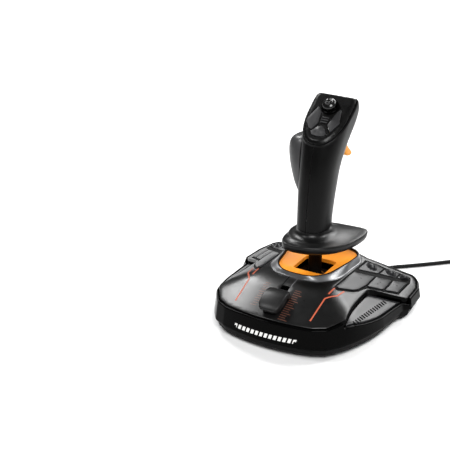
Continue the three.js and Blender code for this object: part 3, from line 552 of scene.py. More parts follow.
def circles(profile, sides):
    """Rings about z from (radius, height) points."""
    angles = np.linspace(0, 2 * math.pi, sides, endpoint=False)
    return [np.c_[r * np.cos(angles), r * np.sin(angles), np.full(sides, h)] for r, h in profile]


def revolve(profile, sides):
    """Closed solid of revolution about z. The profile starts and ends beside the axis."""
    return skin(circles(profile, sides), capped=True)


def washer(rings):
    """Closes a stack of rings on itself."""
    return skin([*rings, rings[0]])


def joined(meshes):
    """One set of points and faces out of several."""
    points, faces = [], []
    for more, more_faces in meshes:
        faces += [tuple(len(points) + v for v in f) for f in more_faces]
        points += [tuple(p) for p in more]
    return points, faces


def at_height(loop, z):
    return np.c_[loop, np.broadcast_to(z, len(loop))]


def stack(loop, steps):
    """Rings of one outline, each drawn in by an inset and set at a height."""
    return [at_height(offset(loop, -inset), z) for inset, z in steps]


def mirror(points):
    return [(-x, y) for x, y in points][::-1]


# ---------------------------------------------------------------- base surfaces
def soft_min(a, b):
    near = np.maximum(BLEND - np.abs(a - b), 0) / BLEND
    return np.minimum(a, b) - near * near * BLEND / 4


def wing_z(x, y):
    return WING_Z - WING_SLOPE_X * (np.abs(x) - WING_X) - WING_SLOPE_Y * (y - WING_Y)


def top_z(x, y):
    apron = APRON_Z + APRON_SLOPE * (y - APRON_Y) - APRON_CROWN * x * x
    middle = MIDDLE_Z - 0.3 * np.maximum(y - REAR_DROP_Y, 0)
    return soft_min(soft_min(apron, middle), wing_z(x, y))


def mirrored(half, rear_y):
    half = [tuple(p) for p in half]
    return half + [(0, rear_y)] + [(-x, y) for x, y in half[:0:-1]]


def base_outline():
    front = np.linspace(0, 50, 18)
    half = [(x, FRONT_Y + FRONT_RADIUS - math.sqrt(FRONT_RADIUS ** 2 - x * x)) for x in front]
    for degrees in np.arange(40, 80, 2.6):
        a = math.radians(degrees)
        half.append((SIDE_HALF_WIDTH * math.sin(a) ** SIDE_POWER,
                     SIDE_CENTRE_Y - SIDE_LENGTH * math.cos(a) ** SIDE_POWER))
    half += WING_CORNERS + REAR_POINTS
    return split(rounded(mirrored(half, REAR_Y), 5), 2.2)


OUTLINE = base_outline()


def flare(y):
    return np.interp(y, (-60, 20), (FLARE_FRONT, FLARE_REAR))


def outline_at(z, inset):
    """Base outline at a height, or at one height per point, drawn in by an inset."""
    loop = offset(OUTLINE, -inset)
    z = np.broadcast_to(np.asarray(z, float), (len(loop),))
    return np.c_[loop[:, 0] * (1 + flare(OUTLINE[:, 1]) * (OUTLINE_Z - z)),
                 loop[:, 1] * (1 + FLARE_Y * (OUTLINE_Z - z)), z]


def surface_outline(inset, sink=0.0):
    """Where the inset outline meets the upper surface, in plan."""
    near = top_z(OUTLINE[:, 0], OUTLINE[:, 1]) - sink
    return outline_at(near, inset)[:, :2]


def cross_points(line, loop):
    """Places where an open line crosses a closed outline: (segment, place along the outline, point)."""
    found = []
    for i in range(len(line) - 1):
        a, b = np.array(line[i]), np.array(line[i + 1])
        for j in range(len(loop)):
            c, d = loop[j], loop[(j + 1) % len(loop)]
            matrix = np.array([b - a, c - d]).T
            if abs(np.linalg.det(matrix)) < 1e-12:
                continue
            t, u = np.linalg.solve(matrix, c - a)
            if 0 <= t < 1 and 0 <= u < 1:
                found.append((i + t, j + u, a + (b - a) * t))
    return sorted(found, key=lambda f: f[0])


ridge_soft = np.vstack([spline(RIDGE[:5], 30, False)[:-1],
                        spline([RIDGE[4], (66.9, -8), (69.4, -4), (72, -1)], 10, False)[:-1],
                        np.array([(72, -1), *RIDGE[6:]])])


def ridge_split(inset, shift):
    """Splits the right half of an inset outline at the ridge: (outer part of the outline, ridge stretch)."""
    loop = surface_outline(inset)
    normal_shift = np.array([shift, -shift * 0.3])
    line = ridge_soft + normal_shift
    hits = [h for h in cross_points(line, loop) if h[2][0] > 0]
    (s0, e0, p0), (s1, e1, p1) = hits[0], hits[-1]
    stretch = [p0] + [line[i] for i in range(math.ceil(s0), math.floor(s1) + 1)] + [p1]
    outer = [loop[k] for k in range(math.ceil(e0), math.floor(e1) + 1)]
    return loop, (e0, e1), np.array(stretch), np.array(outer)


def shell_outline():
    loop, (e0, e1), stretch, _ = ridge_split(WALL + GAP, 0)
    rear = int(np.argmax(np.where(np.abs(loop[:, 0]) < 1.5, loop[:, 1], -1e9)))
    half = list(loop[:math.ceil(e0)]) + list(stretch) + list(loop[math.floor(e1) + 1:rear])
    half = [p for p in half if p[0] > 0.8]
    front, back = loop[np.argmin(loop[:, 1])][1], loop[rear][1]
    right = [tuple(p) for p in half]
    left = [(-x, y) for x, y in right[::-1]]
    return np.array([(0, front), *right, (0, back), *left])


def panel_outline():
    _, _, stretch, outer = ridge_split(WALL + GAP, GAP)
    return rounded(np.vstack([outer, stretch[::-1]]), 0.8, 2)


COLLAR_OUTLINE = spline(mirrored(COLLAR_POINTS, COLLAR_REAR_Y), 180)
DISH_OUTLINE = spline(mirrored(DISH_POINTS, DISH_REAR_Y), 180)
apron_turn = Matrix.Rotation(math.atan(APRON_SLOPE), 4, "X")
apron_frame = Matrix.Translation((0, APRON_Y, APRON_Z)) @ apron_turn
slot_outline = rounded([(-SLOT_HALF, SLOT_FRONT), (SLOT_HALF, SLOT_FRONT), (SLOT_HALF, SLOT_REAR + SLOT_LEAN),
                        (-SLOT_HALF, SLOT_REAR + SLOT_LEAN)], 0.5)


def make_upper_shell():
    clusters = [rounded(offset(oriented(c), GAP), 1.2) for c in (CLUSTER, mirror(CLUSTER))]
    holes = [split(offset(oriented(COLLAR_OUTLINE), 0.2), 3), *clusters, slot_outline]
    outline = shell_outline()

    def rim(x, y):
        ridge_both = np.vstack([ridge_soft, ridge_soft * (-1, 1)])
        near = np.sqrt(((np.c_[x, y][:, None] - ridge_both[None]) ** 2).sum(2).min(1)) < 1.6
        return top_z(x, y) - np.where(near, PANEL_DROP + 3, 3.4)

    points, faces = plate(outline, holes, top_z, lambda x, y: top_z(x, y) - 2.4, edge=0.9, step=3.2, rim=rim)
    # painted shade: the shell's upright walls take the darker band finish
    make("upper_shell_moulding", points, faces, "shell_black", "base", ["upper_shell"],
         walls=LOOKS["band_gloss"])


def make_panel(side, hand):
    outline = panel_outline()
    if side < 0:
        outline = mirror(outline)
    top = lambda x, y: top_z(x, y) - PANEL_DROP
    points, faces = plate(outline, [], top, lambda x, y: top(x, y) - PANEL_THICK, edge=0.5, step=2.6)
    make(f"{hand}_side_panel_moulding", points, faces, "panel_grey", "base", [f"{hand}_side_panel"])


def band_sink():
    """How far the band's top edge is sunk at each outline point: the side panels' drop, with short ramps."""
    _, (e0, e1), _, _ = ridge_split(0, 0.0)
    place = np.arange(len(OUTLINE))
    right = smooth((place - e0) / 0.6 + 0.5) * smooth((e1 - place) / 0.6 + 0.5)
    mirror_place = (len(OUTLINE) - place) % len(OUTLINE)
    left = smooth((mirror_place - e0) / 0.6 + 0.5) * smooth((e1 - mirror_place) / 0.6 + 0.5)
    return PANEL_DROP * np.maximum(right, left)


def make_band():
    sink = band_sink()
    top = top_z(OUTLINE[:, 0], OUTLINE[:, 1]) - 0.2 - sink
    rings = []
    for share in (0, 0.04, 0.12, 0.25, 0.4, 0.55, 0.7, 0.85, 0.95):
        z = BAND_Z + (top - BAND_ROLL - BAND_Z) * share
        rings.append(outline_at(z, {0: 0.5, 0.04: 0.12}.get(share, 0)))
    for degrees in (0, 22, 45, 68, 90):
        a = math.radians(degrees)
        rings.append(outline_at(top - BAND_ROLL * (1 - math.sin(a)), BAND_ROLL * (1 - math.cos(a))))
    rings += [outline_at(top, WALL - 0.5), outline_at(top - BAND_LIP, WALL)]
    rings += [outline_at(BAND_Z + (top - BAND_LIP - BAND_Z) * share, WALL) for share in (0.6, 0.3, 0)]
    points, faces = washer(rings)
    make("skirt_band_moulding", points, faces, "band_gloss", "base", ["skirt_band"])


make_upper_shell()
make_band()
for side, hand in HANDS:
    make_panel(side, hand)


# ---------------------------------------------------------------- collar and light dish
def make_collar():
    foot = top_z(COLLAR_OUTLINE[:, 0], COLLAR_OUTLINE[:, 1]) + 0.3
    crest = offset(DISH_OUTLINE, 2.2)
    rings = stack(DISH_OUTLINE, [(-0.4, COLLAR_FOOT_Z)])
    rings += stack(COLLAR_OUTLINE, ((0.2, COLLAR_FOOT_Z), (0, foot - 0.9), (0.25, foot - 0.25),
                                    (0.8, foot + 0.05)))
    for t in (0.2, 0.4, 0.6, 0.8, 0.93):
        loop = offset(COLLAR_OUTLINE, -0.8) * (1 - t) + crest * t
        rings.append(at_height(loop, foot + (COLLAR_Z - foot) * (1 - (1 - t) ** 1.15)))
    rings += stack(DISH_OUTLINE, ((-2.2, COLLAR_Z), (-1.1, COLLAR_Z - 0.05), (-0.6, COLLAR_Z - 0.5),
                                  (-0.4, COLLAR_Z - 1.2)))
    points, faces = washer(rings)
    make("collar_moulding", points, faces, "collar_silver", "base", ["collar_ring"])
    seal = stack(DISH_OUTLINE, ((-0.1, COLLAR_Z - 1.6), (-1.5, COLLAR_Z - 1.6), (-1.5, COLLAR_Z + 0.12),
                                (-1.3, COLLAR_Z + 0.3), (-0.3, COLLAR_Z + 0.3)))
    points, faces = washer(seal)
    make("dish_seal", points, faces, MATT_BLACK, "base")


def make_dish():
    angles = np.arctan2(DISH_OUTLINE[:, 1], DISH_OUTLINE[:, 0])

    def well(grow, z):
        hx, hy = WELL_HALF[0] + grow, WELL_HALF[1] + grow
        reach = (np.abs(np.cos(angles) / hx) ** 14 + np.abs(np.sin(angles) / hy) ** 14) ** (-1 / 14)
        return np.c_[reach * np.cos(angles), reach * np.sin(angles), np.full(len(angles), z)]

    outer = at_height(DISH_OUTLINE, DISH_Z)
    edge = well(0.7, WELL_Z)
    rings = [well(1.6, WELL_Z - 4)]
    rings += stack(DISH_OUTLINE, ((0, DISH_Z - 2.4), (0, DISH_Z - 0.3), (0.3, DISH_Z)))
    for t in (0.08, 0.2, 0.35, 0.5, 0.65, 0.8, 0.92, 1):
        ring = outer * (1 - t) + edge * t
        ring[:, 2] = DISH_Z + (WELL_Z - DISH_Z) * (1 - (1 - t) ** 1.35)
        rings.append(ring)
    rings += [well(0.3, WELL_Z - 0.15), well(0.05, WELL_Z - 0.5), well(0, WELL_Z - 4)]
    points, faces = washer(rings)
    make("light_dish_moulding", points, faces, "dish_orange", "base", ["light_dish"])


make_collar()
make_dish()


# ---------------------------------------------------------------- button wings
def wing_frame(side):
    normal = Vector((WING_SLOPE_X * side, WING_SLOPE_Y, 1)).normalized()
    across = Vector((1, 0, -WING_SLOPE_X * side)).normalized()
    along = normal.cross(across)
    turn = Matrix((across, along, normal)).transposed().to_4x4()
    return Matrix.Translation((WING_X * side, WING_Y, WING_Z)) @ turn


def on_wing(points, side):
    """Plan outline laid on a wing, in that wing's own frame."""
    plan = np.array(points if side > 0 else mirror(points), float)
    solid = np.c_[plan, wing_z(plan[:, 0], plan[:, 1])]
    return moved(solid, wing_frame(side).inverted())[:, :2]


def level(z):
    """Flat surface for plate."""
    return lambda x, y: np.full(len(x), float(z))


# small raised disc, its top just above the key
DOT_PROFILE = [(0.01, 0.6), (0.85, 0.6), (0.85, KEY_TOP + 0.34), (0.01, KEY_TOP + 0.38)]


def key_outline(key, side):
    """Outline of a key cap on its wing. The rear keys stop short of the front ones."""
    plan = np.array(KEYS[key], float)
    if key in DOMES:
        front = plan[:, 1] < np.interp(plan[:, 0], (45, 60.6, 74.6, 86.4), (12, 30, 44.5, 58))
        plan[front, 1] += 2.2
        plan[front & (plan[:, 0] > 86), 0] -= 0.8
    return rounded(offset(oriented(on_wing(plan, side)), 0.3), 1.0)


def make_key(side, hand, key, place):
    shape = key_outline(key, side)
    middle = on_wing([DOMES[key]], side)[0] if key in DOMES else None

    def height(x, y):
        flat = KEY_TOP + 0.3 * smooth(away(np.c_[x, y], shape) / 5)
        if middle is None:
            return flat
        reach = np.hypot(x - middle[0], y - middle[1]) / DOME_REACH
        return flat - DOME_SINK + DOME_HEIGHT * np.clip(1 - reach ** 2, 0, 1) ** 0.8

    step = 0.9 if key in DOMES else 2.2
    points, faces = plate(shape, [], height, level(KEY_BOTTOM), edge=0.45, step=step)
    name = f"{hand}_key_{key}"
    make(f"{name}_cap", points, faces, "key_grey", name, [name], sharp=60, place=place)
    for number, dot in enumerate(DOTS.get(key, [])):
        x, y = on_wing([dot], side)[0]
        disc, disc_faces = revolve(DOT_PROFILE, 20)
        make(f"{name}_dot_{number}", disc + (x, y, 0), disc_faces, MATT_BLACK, name, place=place)


def make_wing(side, hand):
    place = wing_frame(side)
    outline = rounded(oriented(on_wing(CLUSTER, side)), 1.2)
    wells = [offset(key_outline(key, side), 0.25) for key in KEYS]
    upper = plate(outline, wells, level(FRAME_TOP), level(FRAME_FLOOR), edge=0.2, step=3)
    floor_top, floor_under = level(FRAME_FLOOR), level(FRAME_FLOOR - 1.2)
    lower = plate(offset(outline, -0.5), [], floor_top, floor_under, edge=0.2, step=8)
    points, faces = joined([upper, lower])
    make(f"{hand}_button_frame_moulding", points, faces, MATT_BLACK, "base", [f"{hand}_button_frame"],
         place=place)
    for key in KEYS:
        make_key(side, hand, key, place)


for side, hand in HANDS:
    make_wing(side, hand)


# ---------------------------------------------------------------- printed marks, ribs, and painted shadow and highlight lines by the slot
def ribbon(name, lines, width, look, body="base", lift=0.06):
    """Printed lines that follow the upper surface, also used for the painted shadow and painted highlight
    lines by the slot.
    """
    points, faces = [], []
    for line in lines:
        fine = split(line, 2, closed=False)
        side = -sideways(fine) * width / 2
        first = len(points)
        for a, b in zip(fine + side, fine - side):
            for x, y in (a, b):
                points.append((x, y, float(top_z(np.array([x]), np.array([y]))[0]) + lift))
        for i in range(len(fine) - 1):
            k = first + 2 * i
            faces.append((k, k + 1, k + 3, k + 2))
    make(name, points, faces, look, body, solid=False)


circuit = [[(53.4, -39.4), (52.1, -53.8), (44, -65.6), (43, -96.1)], [(44.7, -41.7), (44.3, -57.9)]]
ribbon("circuit_lines_right", circuit, 1.5, PRINT_ORANGE)
ribbon("circuit_lines_left", [[(-x, y) for x, y in line][::-1] for line in circuit], 1.5, PRINT_ORANGE)
ticks = [[(-25 + (1.5 if i % 3 else 0), y), (-18, y)] for i, y in enumerate(np.linspace(-97, -67, 11))]
ticks += [[(11.5, y), (18.5 + (3 if i % 3 == 0 else 0), y)] for i, y in enumerate(np.linspace(-106, -68, 15))]
ribbon("slider_scale", ticks, 0.5, PRINT_TICK)


def make_front_mark():
    """Plain row of slanted bars on the front band."""
    points, faces = [], []
    for left in np.linspace(-36, 31.4, 14):
        first = len(points)
        for x, z in ((left, 18.2), (left + 3.3, 18.2), (left + 4.7, 22.8), (left + 1.4, 22.8)):
            y = FRONT_Y + FRONT_RADIUS - math.sqrt(FRONT_RADIUS ** 2 - x * x)
            points.append((x, y * (1 + FLARE_Y * (OUTLINE_Z - z)) - 0.12, z))
        faces.append((first, first + 1, first + 2, first + 3))
    make("front_bars", points, faces, PRINT_WHITE, "base", solid=False)


def make_panel_ribs(side, hand):
    """Short raised ribs in a row along a side panel."""
    top = lambda u, v: top_z(u, v) - PANEL_DROP + 0.7
    under = lambda u, v: top(u, v) - 1.2
    ribs = []
    for y in np.linspace(-66, 0, 15):
        x = 80.4 + 0.06 * (y + 33)
        corners = [(x - 2.2, y - 0.75), (x + 2.2, y - 1.05), (x + 2.2, y + 0.45), (x - 2.2, y + 0.75)]
        bar = rounded(corners, 0.3, 2)
        ribs.append(plate(bar if side > 0 else mirror(bar), [], top, under, edge=0.25, step=2))
    points, faces = joined(ribs)
    make(f"{hand}_panel_ribs", points, faces, "band_gloss", "base")


make_front_mark()
for side, hand in HANDS:
    make_panel_ribs(side, hand)
# painted shadow: a matt black strip along the slot's left side for its shaded wall; painted highlight: a
# lighter strip along its right edge for a glint
ribbon("slot_shadow_line", [[(-SLOT_HALF - 0.3, -74), (-SLOT_HALF - 0.3, -49.0)]], 1.2, MATT_BLACK, lift=0.08)
ribbon("slot_painted_highlight_line", [[(SLOT_HALF, -72), (SLOT_HALF, -49.4)]], 0.75, PAINTED_HIGHLIGHT_EDGE, lift=0.08)


# ---------------------------------------------------------------- slider
def superellipse(hx, hy, power, count=96):
    a = np.linspace(0, 2 * math.pi, 720, endpoint=False)
    power = 2 / power
    return even(np.c_[hx * signed_power(np.cos(a), power), hy * signed_power(np.sin(a), power)], count)


knob_frame = apron_frame @ Matrix.Translation((0, (KNOB_Y - APRON_Y) * math.hypot(1, APRON_SLOPE), 0))
KNOB_PROFILE = [(-17.4, 7.6), (-16.6, 8.6), (-12, 10.4), (-4, 11.6), (4, 11.5), (11, 9.2), (15.6, 5),
                (17.4, 3)]
knob_line = spline(KNOB_PROFILE, 60, False)
knob_top = lambda x, y: np.interp(y, knob_line[:, 0], knob_line[:, 1]) - 0.006 * x * x
knob_under = lambda x, y: np.interp(y, (7, 9), (5.4, 0.8))
knob_plan = superellipse(KNOB_HALF_X, KNOB_HALF_Y, 4)
points, faces = plate(knob_plan, [], knob_top, knob_under, edge=0.8, step=1.6, turns=4)
make("slider_knob_cap", points, faces, "knob_black", "slider", ["slider_knob"], place=knob_frame)
foot_plan = superellipse(KNOB_FOOT_X, KNOB_FOOT_Y, 4)
points, faces = plate(foot_plan, [], level(6.2), level(0.8), edge=0.2, step=2.4)
make("slider_knob_foot", points, faces, "knob_black", "slider", place=knob_frame)


# ---------------------------------------------------------------- palm rest
def make_palm_rest():
    rim = spline(PALM_OUTLINE, 168)
    angle = np.arctan2(rim[:, 1] - PALM_NECK_Y, rim[:, 0])

    def neck(grow, z):
        x, y = (17 + grow) * np.cos(angle), PALM_NECK_Y + (20 + grow) * np.sin(angle)
        return at_height(np.c_[x, y], z)

    bore = np.c_[PALM_BORE_R * np.cos(angle), PALM_BORE_R * np.sin(angle)]
    edge = ((9, PALM_DEPTH), (6, PALM_DEPTH), (3.4, 9.2), (1.6, 8), (0.6, 6), (0.1, 3.4), (0, 1.6),
            (0.3, 0.7), (0.9, 0.15), (1.7, 0))
    rings = [at_height(bore, PALM_Z - PALM_DEPTH)] + stack(rim, [(inset, PALM_Z - z) for inset, z in edge])
    start, end = rings[-1], neck(9, PALM_Z + 2.4)
    for t in (0.12, 0.25, 0.4, 0.55, 0.7, 0.85, 1):
        ring = start * (1 - t) + end * t
        ring[:, 2] = PALM_Z + 2.4 * t ** 1.8
        rings.append(ring)
    for t in (0.15, 0.3, 0.45, 0.6, 0.75, 0.88, 1):
        a = t * math.pi / 2
        rings.append(neck(9 - 10 * math.sin(a), PALM_Z + 2.4 + 6.5 * (1 - math.cos(a))))
    rings.append(at_height(bore, GRIP_BOTTOM_Z - 0.3))
    points, faces = washer(rings)
    make("palm_rest_moulding", points, faces, "palm_gloss", "grip", ["palm_rest"])


make_palm_rest()

# ---------------------------------------------------------------- grip
HALF_COLUMNS = 76
GROOVE = np.zeros(HALF_COLUMNS)
# places of the columns round the half section, closer together beside the seam's groove
column_share = np.r_[0.0, 0.005, 0.011, 0.02, np.linspace(0.035, 0.965, HALF_COLUMNS - 8),
                     0.98, 0.989, 0.995, 1.0]
GROOVE[[0, 1, -2, -1]] = (0.55, 0.22, 0.22, 0.55)


def hermite(x, xs, ys):
    slope = np.gradient(ys, xs)
    k = np.clip(np.searchsorted(xs, x) - 1, 0, len(xs) - 2)
    h = xs[k + 1] - xs[k]
    t = (x - xs[k]) / h
    return ((2 * t ** 3 - 3 * t ** 2 + 1) * ys[k] + (t ** 3 - 2 * t ** 2 + t) * h * slope[k]
            + (3 * t ** 2 - 2 * t ** 3) * ys[k + 1] + (t ** 3 - t ** 2) * h * slope[k + 1])


def grip_section(z):
    """Right half of the grip's section at a height, from the near side round to the far side."""
    heights = GRIP_STATIONS[:, 0]
    near, far, half_x, square = (float(hermite(np.array([z]), heights, column)[0])
                                 for column in GRIP_STATIONS.T[1:])
    middle, half_y = (near + far) / 2, (far - near) / 2
    a = np.linspace(-math.pi / 2, math.pi / 2, 721)
    power = np.where(np.sin(a) > 0, 2 / square, 2 / GRIP_NEAR_SQUARENESS)
    x = half_x * np.abs(signed_power(np.cos(a), power))
    return np.c_[x, middle + half_y * signed_power(np.sin(a), power)]


def half_columns(z, inset=0.0):
    line = grip_section(z)
    run = np.r_[0, np.cumsum(np.linalg.norm(np.diff(line, axis=0), axis=1))]
    s = column_share * run[-1]
    p = np.stack([np.interp(s, run, line[:, i]) for i in range(2)], 1)
    return p - sideways(p) * (GROOVE + inset)[:, None]


LEVELS = np.arange(GRIP_BOTTOM_Z, GRIP_TOP_Z + 0.01, 1.0)
TABLE = np.array([half_columns(z) for z in LEVELS])
SMOOTH_TABLE = np.array([half_columns(z, -GROOVE) for z in LEVELS])
RIM_ROLL = 1.3
head_cos, head_sin = math.cos(math.radians(HEAD_TILT)), math.sin(math.radians(HEAD_TILT))
head_frame = Matrix.Translation((0, HEAD_Y, HEAD_Z)) @ Matrix.Rotation(math.radians(HEAD_TILT), 4, "X")


def above_face(y, z):
    return (z - HEAD_Z) * head_cos - (y - HEAD_Y) * head_sin


def rim_heights(clearance):
    """Height at which each column of the grip meets the sloping face, less a clearance."""
    out = []
    for c in range(HALF_COLUMNS):
        n = above_face(TABLE[:, c, 1], LEVELS) + clearance
        crossed = np.nonzero(n >= 0)[0]
        if len(crossed) == 0:
            out.append(GRIP_TOP_Z - 0.2)
            continue
        k = max(crossed[0], 1)
        t = -n[k - 1] / (n[k] - n[k - 1])
        out.append(min(LEVELS[k - 1] + t, GRIP_TOP_Z - 0.2))
    return np.array(out)


def columns_at(heights, groove=1.0):
    """Points of the half section, one height per column. groove is how much of the seam's groove is left."""
    table = SMOOTH_TABLE * (1 - groove) + TABLE * groove
    k = np.clip((heights - LEVELS[0]).astype(int), 0, len(LEVELS) - 2)
    t = (heights - LEVELS[k])[:, None]
    c = np.arange(HALF_COLUMNS)
    plan = table[k, c] * (1 - t) + table[k + 1, c] * t
    return np.c_[plan, heights]


def to_face(points):
    return moved(points, head_frame.inverted())


def from_face(points):
    return moved(points, head_frame)


def face_loop():
    """Outline of the sloping face in its own frame, counter-clockwise, at the foot of the rolled rim."""
    right = to_face(columns_at(rim_heights(RIM_ROLL), 0))
    left = right[::-1] * (-1, 1, 1)
    return np.vstack([right[1:-1], left[1:-1]])


def grip_rows():
    """Rows of the right half, from the foot up the wall and over the rolled rim of the sloping face."""
    top = rim_heights(RIM_ROLL)
    foot_tuck = {0: 0.7, 1: 0.25}
    rows = []
    for i, share in enumerate(np.r_[0, 0.004, 0.012, np.linspace(0.03, 1, 64)]):
        groove = 1 - float(smooth((share - 0.94) / 0.04))
        row = columns_at(GRIP_BOTTOM_Z + (top - GRIP_BOTTOM_Z) * share, groove)
        if i in foot_tuck:
            row[:, :2] -= sideways(row[:, :2]) * foot_tuck[i]
        rows.append(row)
    rim = to_face(rows[-1])
    loop = np.vstack([rim, (rim * (-1, 1, 1))[::-1]])[:, :2]
    angles = (0.35, 0.7, 1.05, 1.4, math.pi / 2)
    steps = [(RIM_ROLL * (1 - math.cos(a)), RIM_ROLL * math.sin(a)) for a in angles]
    for inset, rise in steps + [(1.9, RIM_ROLL), (2.5, RIM_ROLL)]:
        flat = offset(loop, -inset)[:HALF_COLUMNS]
        rows.append(from_face(np.c_[flat, rim[:, 2] + rise]))
    return rows


def make_grip_half(side, hand):
    rows = grip_rows()
    for row in rows:
        row[:, 0] = np.maximum(row[:, 0], GAP / 2) * side
    points, faces = skin(rows, closed=False)
    if side < 0:
        faces = [tuple(reversed(f)) for f in faces]
    piece = make(f"grip_{hand}_moulding", points, faces, "grip_black", "grip", [f"grip_{hand}_shell"],
                 solid=False)
    thick = piece.modifiers.new("thick", "SOLIDIFY")
    thick.thickness = GRIP_WALL * 0.001
    thick.offset = -1
    cutter = box_object("slot_cutter", *TRIGGER_SLOT)
    cut = piece.modifiers.new("cut", "BOOLEAN")
    cut.operation = "DIFFERENCE"
    cut.solver = "EXACT"
    cut.object = cutter
    applied(piece)
    bpy.data.objects.remove(cutter)


def box_object(name, low, high):
    """Scratch box used to cut another piece."""
    (x0, y0, z0), (x1, y1, z1) = low, high
    corners = [(x, y, z) for z in (z0, z1) for x, y in ((x0, y0), (x1, y0), (x1, y1), (x0, y1))]
    faces = [(3, 2, 1, 0), (4, 5, 6, 7), (0, 1, 5, 4), (1, 2, 6, 5), (2, 3, 7, 6), (3, 0, 4, 7)]
    mesh = bpy.data.meshes.new(name)
    mesh.from_pydata([tuple(p) for p in metres(corners)], [], faces)
    made = bpy.data.objects.new(name, mesh)
    bpy.context.scene.collection.objects.link(made)
    return made


for side, hand in HANDS:
    make_grip_half(side, hand)

# ---------------------------------------------------------------- head: cover, buttons, hat
BUTTON_SHAPES = {
    "left": [(-19, -6.9), (-13.4, -16), (-9, -17.8), (-5, -8), (-6.6, 5.4), (-12.8, 11.8)],
    "right": [(17.4, -5.6), (13, 12.4), (10, 8.9), (8, 0.5), (5.8, -9.6), (12.2, -17.8)],
    "centre": [(-8.8, -20.2), (-6.8, -23.6), (0, -25), (6.8, -23.6), (8.8, -20.2), (3.4, -13.4),
               (0, -11.4), (-3.4, -13.4)],
}
HAT_HOLE_R = 7.4
CENTRE_PEAK = (0, -17.5)


def button_top(key, shape):
    """Height of a thumb button's top: the centre one rises to a peak."""
    def height(x, y):
        if key == "centre":
            reach = np.hypot(x - CENTRE_PEAK[0], y - CENTRE_PEAK[1])
            return HEAD_CROWN + 0.6 + 2.2 * smooth(1 - reach / 8.5)
        return HEAD_CROWN + 0.9 + 0.2 * smooth(away(np.c_[x, y], shape) / 3)
    return height


def make_head():
    rim = even(offset(oriented(face_loop()[:, :2]), -RIM_ROLL - 0.9), 150)

    def crown(x, y):
        return 2.0 + (HEAD_CROWN - 2.0) * smooth(away(np.c_[x, y], rim) / 2.8)

    wells = [rounded(offset(oriented(shape), 0.25), 0.8) for shape in BUTTON_SHAPES.values()]
    turns = np.linspace(0, 2 * math.pi, 48, False)
    circle = np.array([(HAT_HOLE_R * math.cos(a), HAT_V + HAT_HOLE_R * math.sin(a)) for a in turns])
    points, faces = plate(rim, [*wells, circle], crown, level(0.3), edge=0.4, step=1.8)
    make("head_cover_moulding", points, faces, "head_black", "grip", ["head_cover"], place=head_frame)
    for key, shape in BUTTON_SHAPES.items():
        shape = rounded(oriented(shape), 0.8)
        points, faces = plate(shape, [], button_top(key, shape), level(1.5), edge=0.4, step=1.1)
        name = f"thumb_button_{key}"
        make(f"{name}_cap", points, faces, "thumb_grey", name, [name], place=head_frame)
    ribs = []
    top, under = level(HEAD_CROWN + 0.8), level(HEAD_CROWN - 0.6)
    for v in (-0.6, -3.6, -6.6):
        bar = rounded([(-3.6, v - 0.7), (3.9, v - 0.7), (4.6, v + 0.7), (-3.9, v + 0.7)], 0.4, 2)
        ribs.append(plate(bar, [], top, under, edge=0.35, step=1.5))
    points, faces = joined(ribs)
    make("head_ribs", points, faces, "thumb_grey", "grip", place=head_frame)


HAT_RING_PROFILE = [(7.2, 4.3), (9.4, 4.3), (9.4, 5.6), (9.15, 6.3), (8.5, 6.65), (7.7, 6.6), (7.2, 6.0)]
HAT_PROFILE = [(0.01, 5.0), (2.6, 5.0), (3.2, 5.8), (3.2, 8.0), (5.6, 8.5), (6.7, 8.9), (7.3, 9.6),
               (7.35, 10.2), (6.9, 11.2), (6.1, 12.0), (5.0, 12.6), (4.1, 13.2), (3.5, 14.0),
               (3.1, 14.9), (2.7, 15.5), (2.0, 15.85), (0.9, 16), (0.01, 16)]


def make_hat():
    hat_frame = head_frame @ Matrix.Translation((0, HAT_V, 0))
    points, faces = washer(circles(HAT_RING_PROFILE, 72))
    make("hat_collar_ring", points, faces, "band_gloss", "grip", ["hat_collar"], place=hat_frame)
    points, faces = revolve(HAT_PROFILE, 72)
    make("hat_cap_moulding", points, faces, "hat_black", "hat_cap", ["hat_cap"], place=hat_frame)


make_head()
make_hat()


# ---------------------------------------------------------------- thumb rest and trigger
def make_thumb_rest():
    stations = [(131, 1, 2), (144, 8, 9), (160, 14, 14), (174, 17.6, 16), (184, 17.4, 16), (189.6, 12, 14),
                (192, 4, 10)]
    rings = []
    a = np.linspace(0, 2 * math.pi, 72, endpoint=False)
    for z, out, deep in spline(stations, 44, False):
        wall = -19.6 - (z - 160) * 0.06
        y = 6 + (z - 160) * 0.32
        x = wall + max(out, 0.3) * np.cos(a)
        rings.append(np.c_[np.minimum(x, wall + 1.2), y + max(deep, 0.3) * np.sin(a), np.full(len(a), z)])
    points, faces = skin(rings, capped=True)
    make("thumb_rest_moulding", points, faces, "thumb_rest_grey", "grip", ["thumb_rest"])


TRIGGER_OUTLINE = [(36.6, 207.8), (42.4, 207.4), (44.6, 200), (45.4, 188), (48.4, 178.4), (55, 170.4),
                   (64.2, 161.4), (63.6, 158.2), (59, 157.6), (50.6, 161.6), (43.8, 169.6), (39.6, 180),
                   (37, 192), (35.6, 202)]
# distance from the middle of the blade and inset of the outline there
TRIGGER_STEPS = [(8.4, 1.6), (8.2, 1.0), (7.6, 0.4), (6.6, 0), (3, -0.1)]


def make_trigger():
    side_frame = Matrix(((0, 0, 1, 0), (1, 0, 0, 0), (0, 1, 0, 0), (0, 0, 0, 1)))
    loop = oriented(spline(TRIGGER_OUTLINE, 90))
    left = [(inset, -x) for x, inset in TRIGGER_STEPS]
    right = [(inset, x) for x, inset in TRIGGER_STEPS[::-1]]
    points, faces = skin(stack(loop, left + [(-0.15, 0)] + right), capped=True)
    make("trigger_blade", points, faces, "trigger_orange", "trigger", ["trigger"], place=side_frame)


make_thumb_rest()
make_trigger()


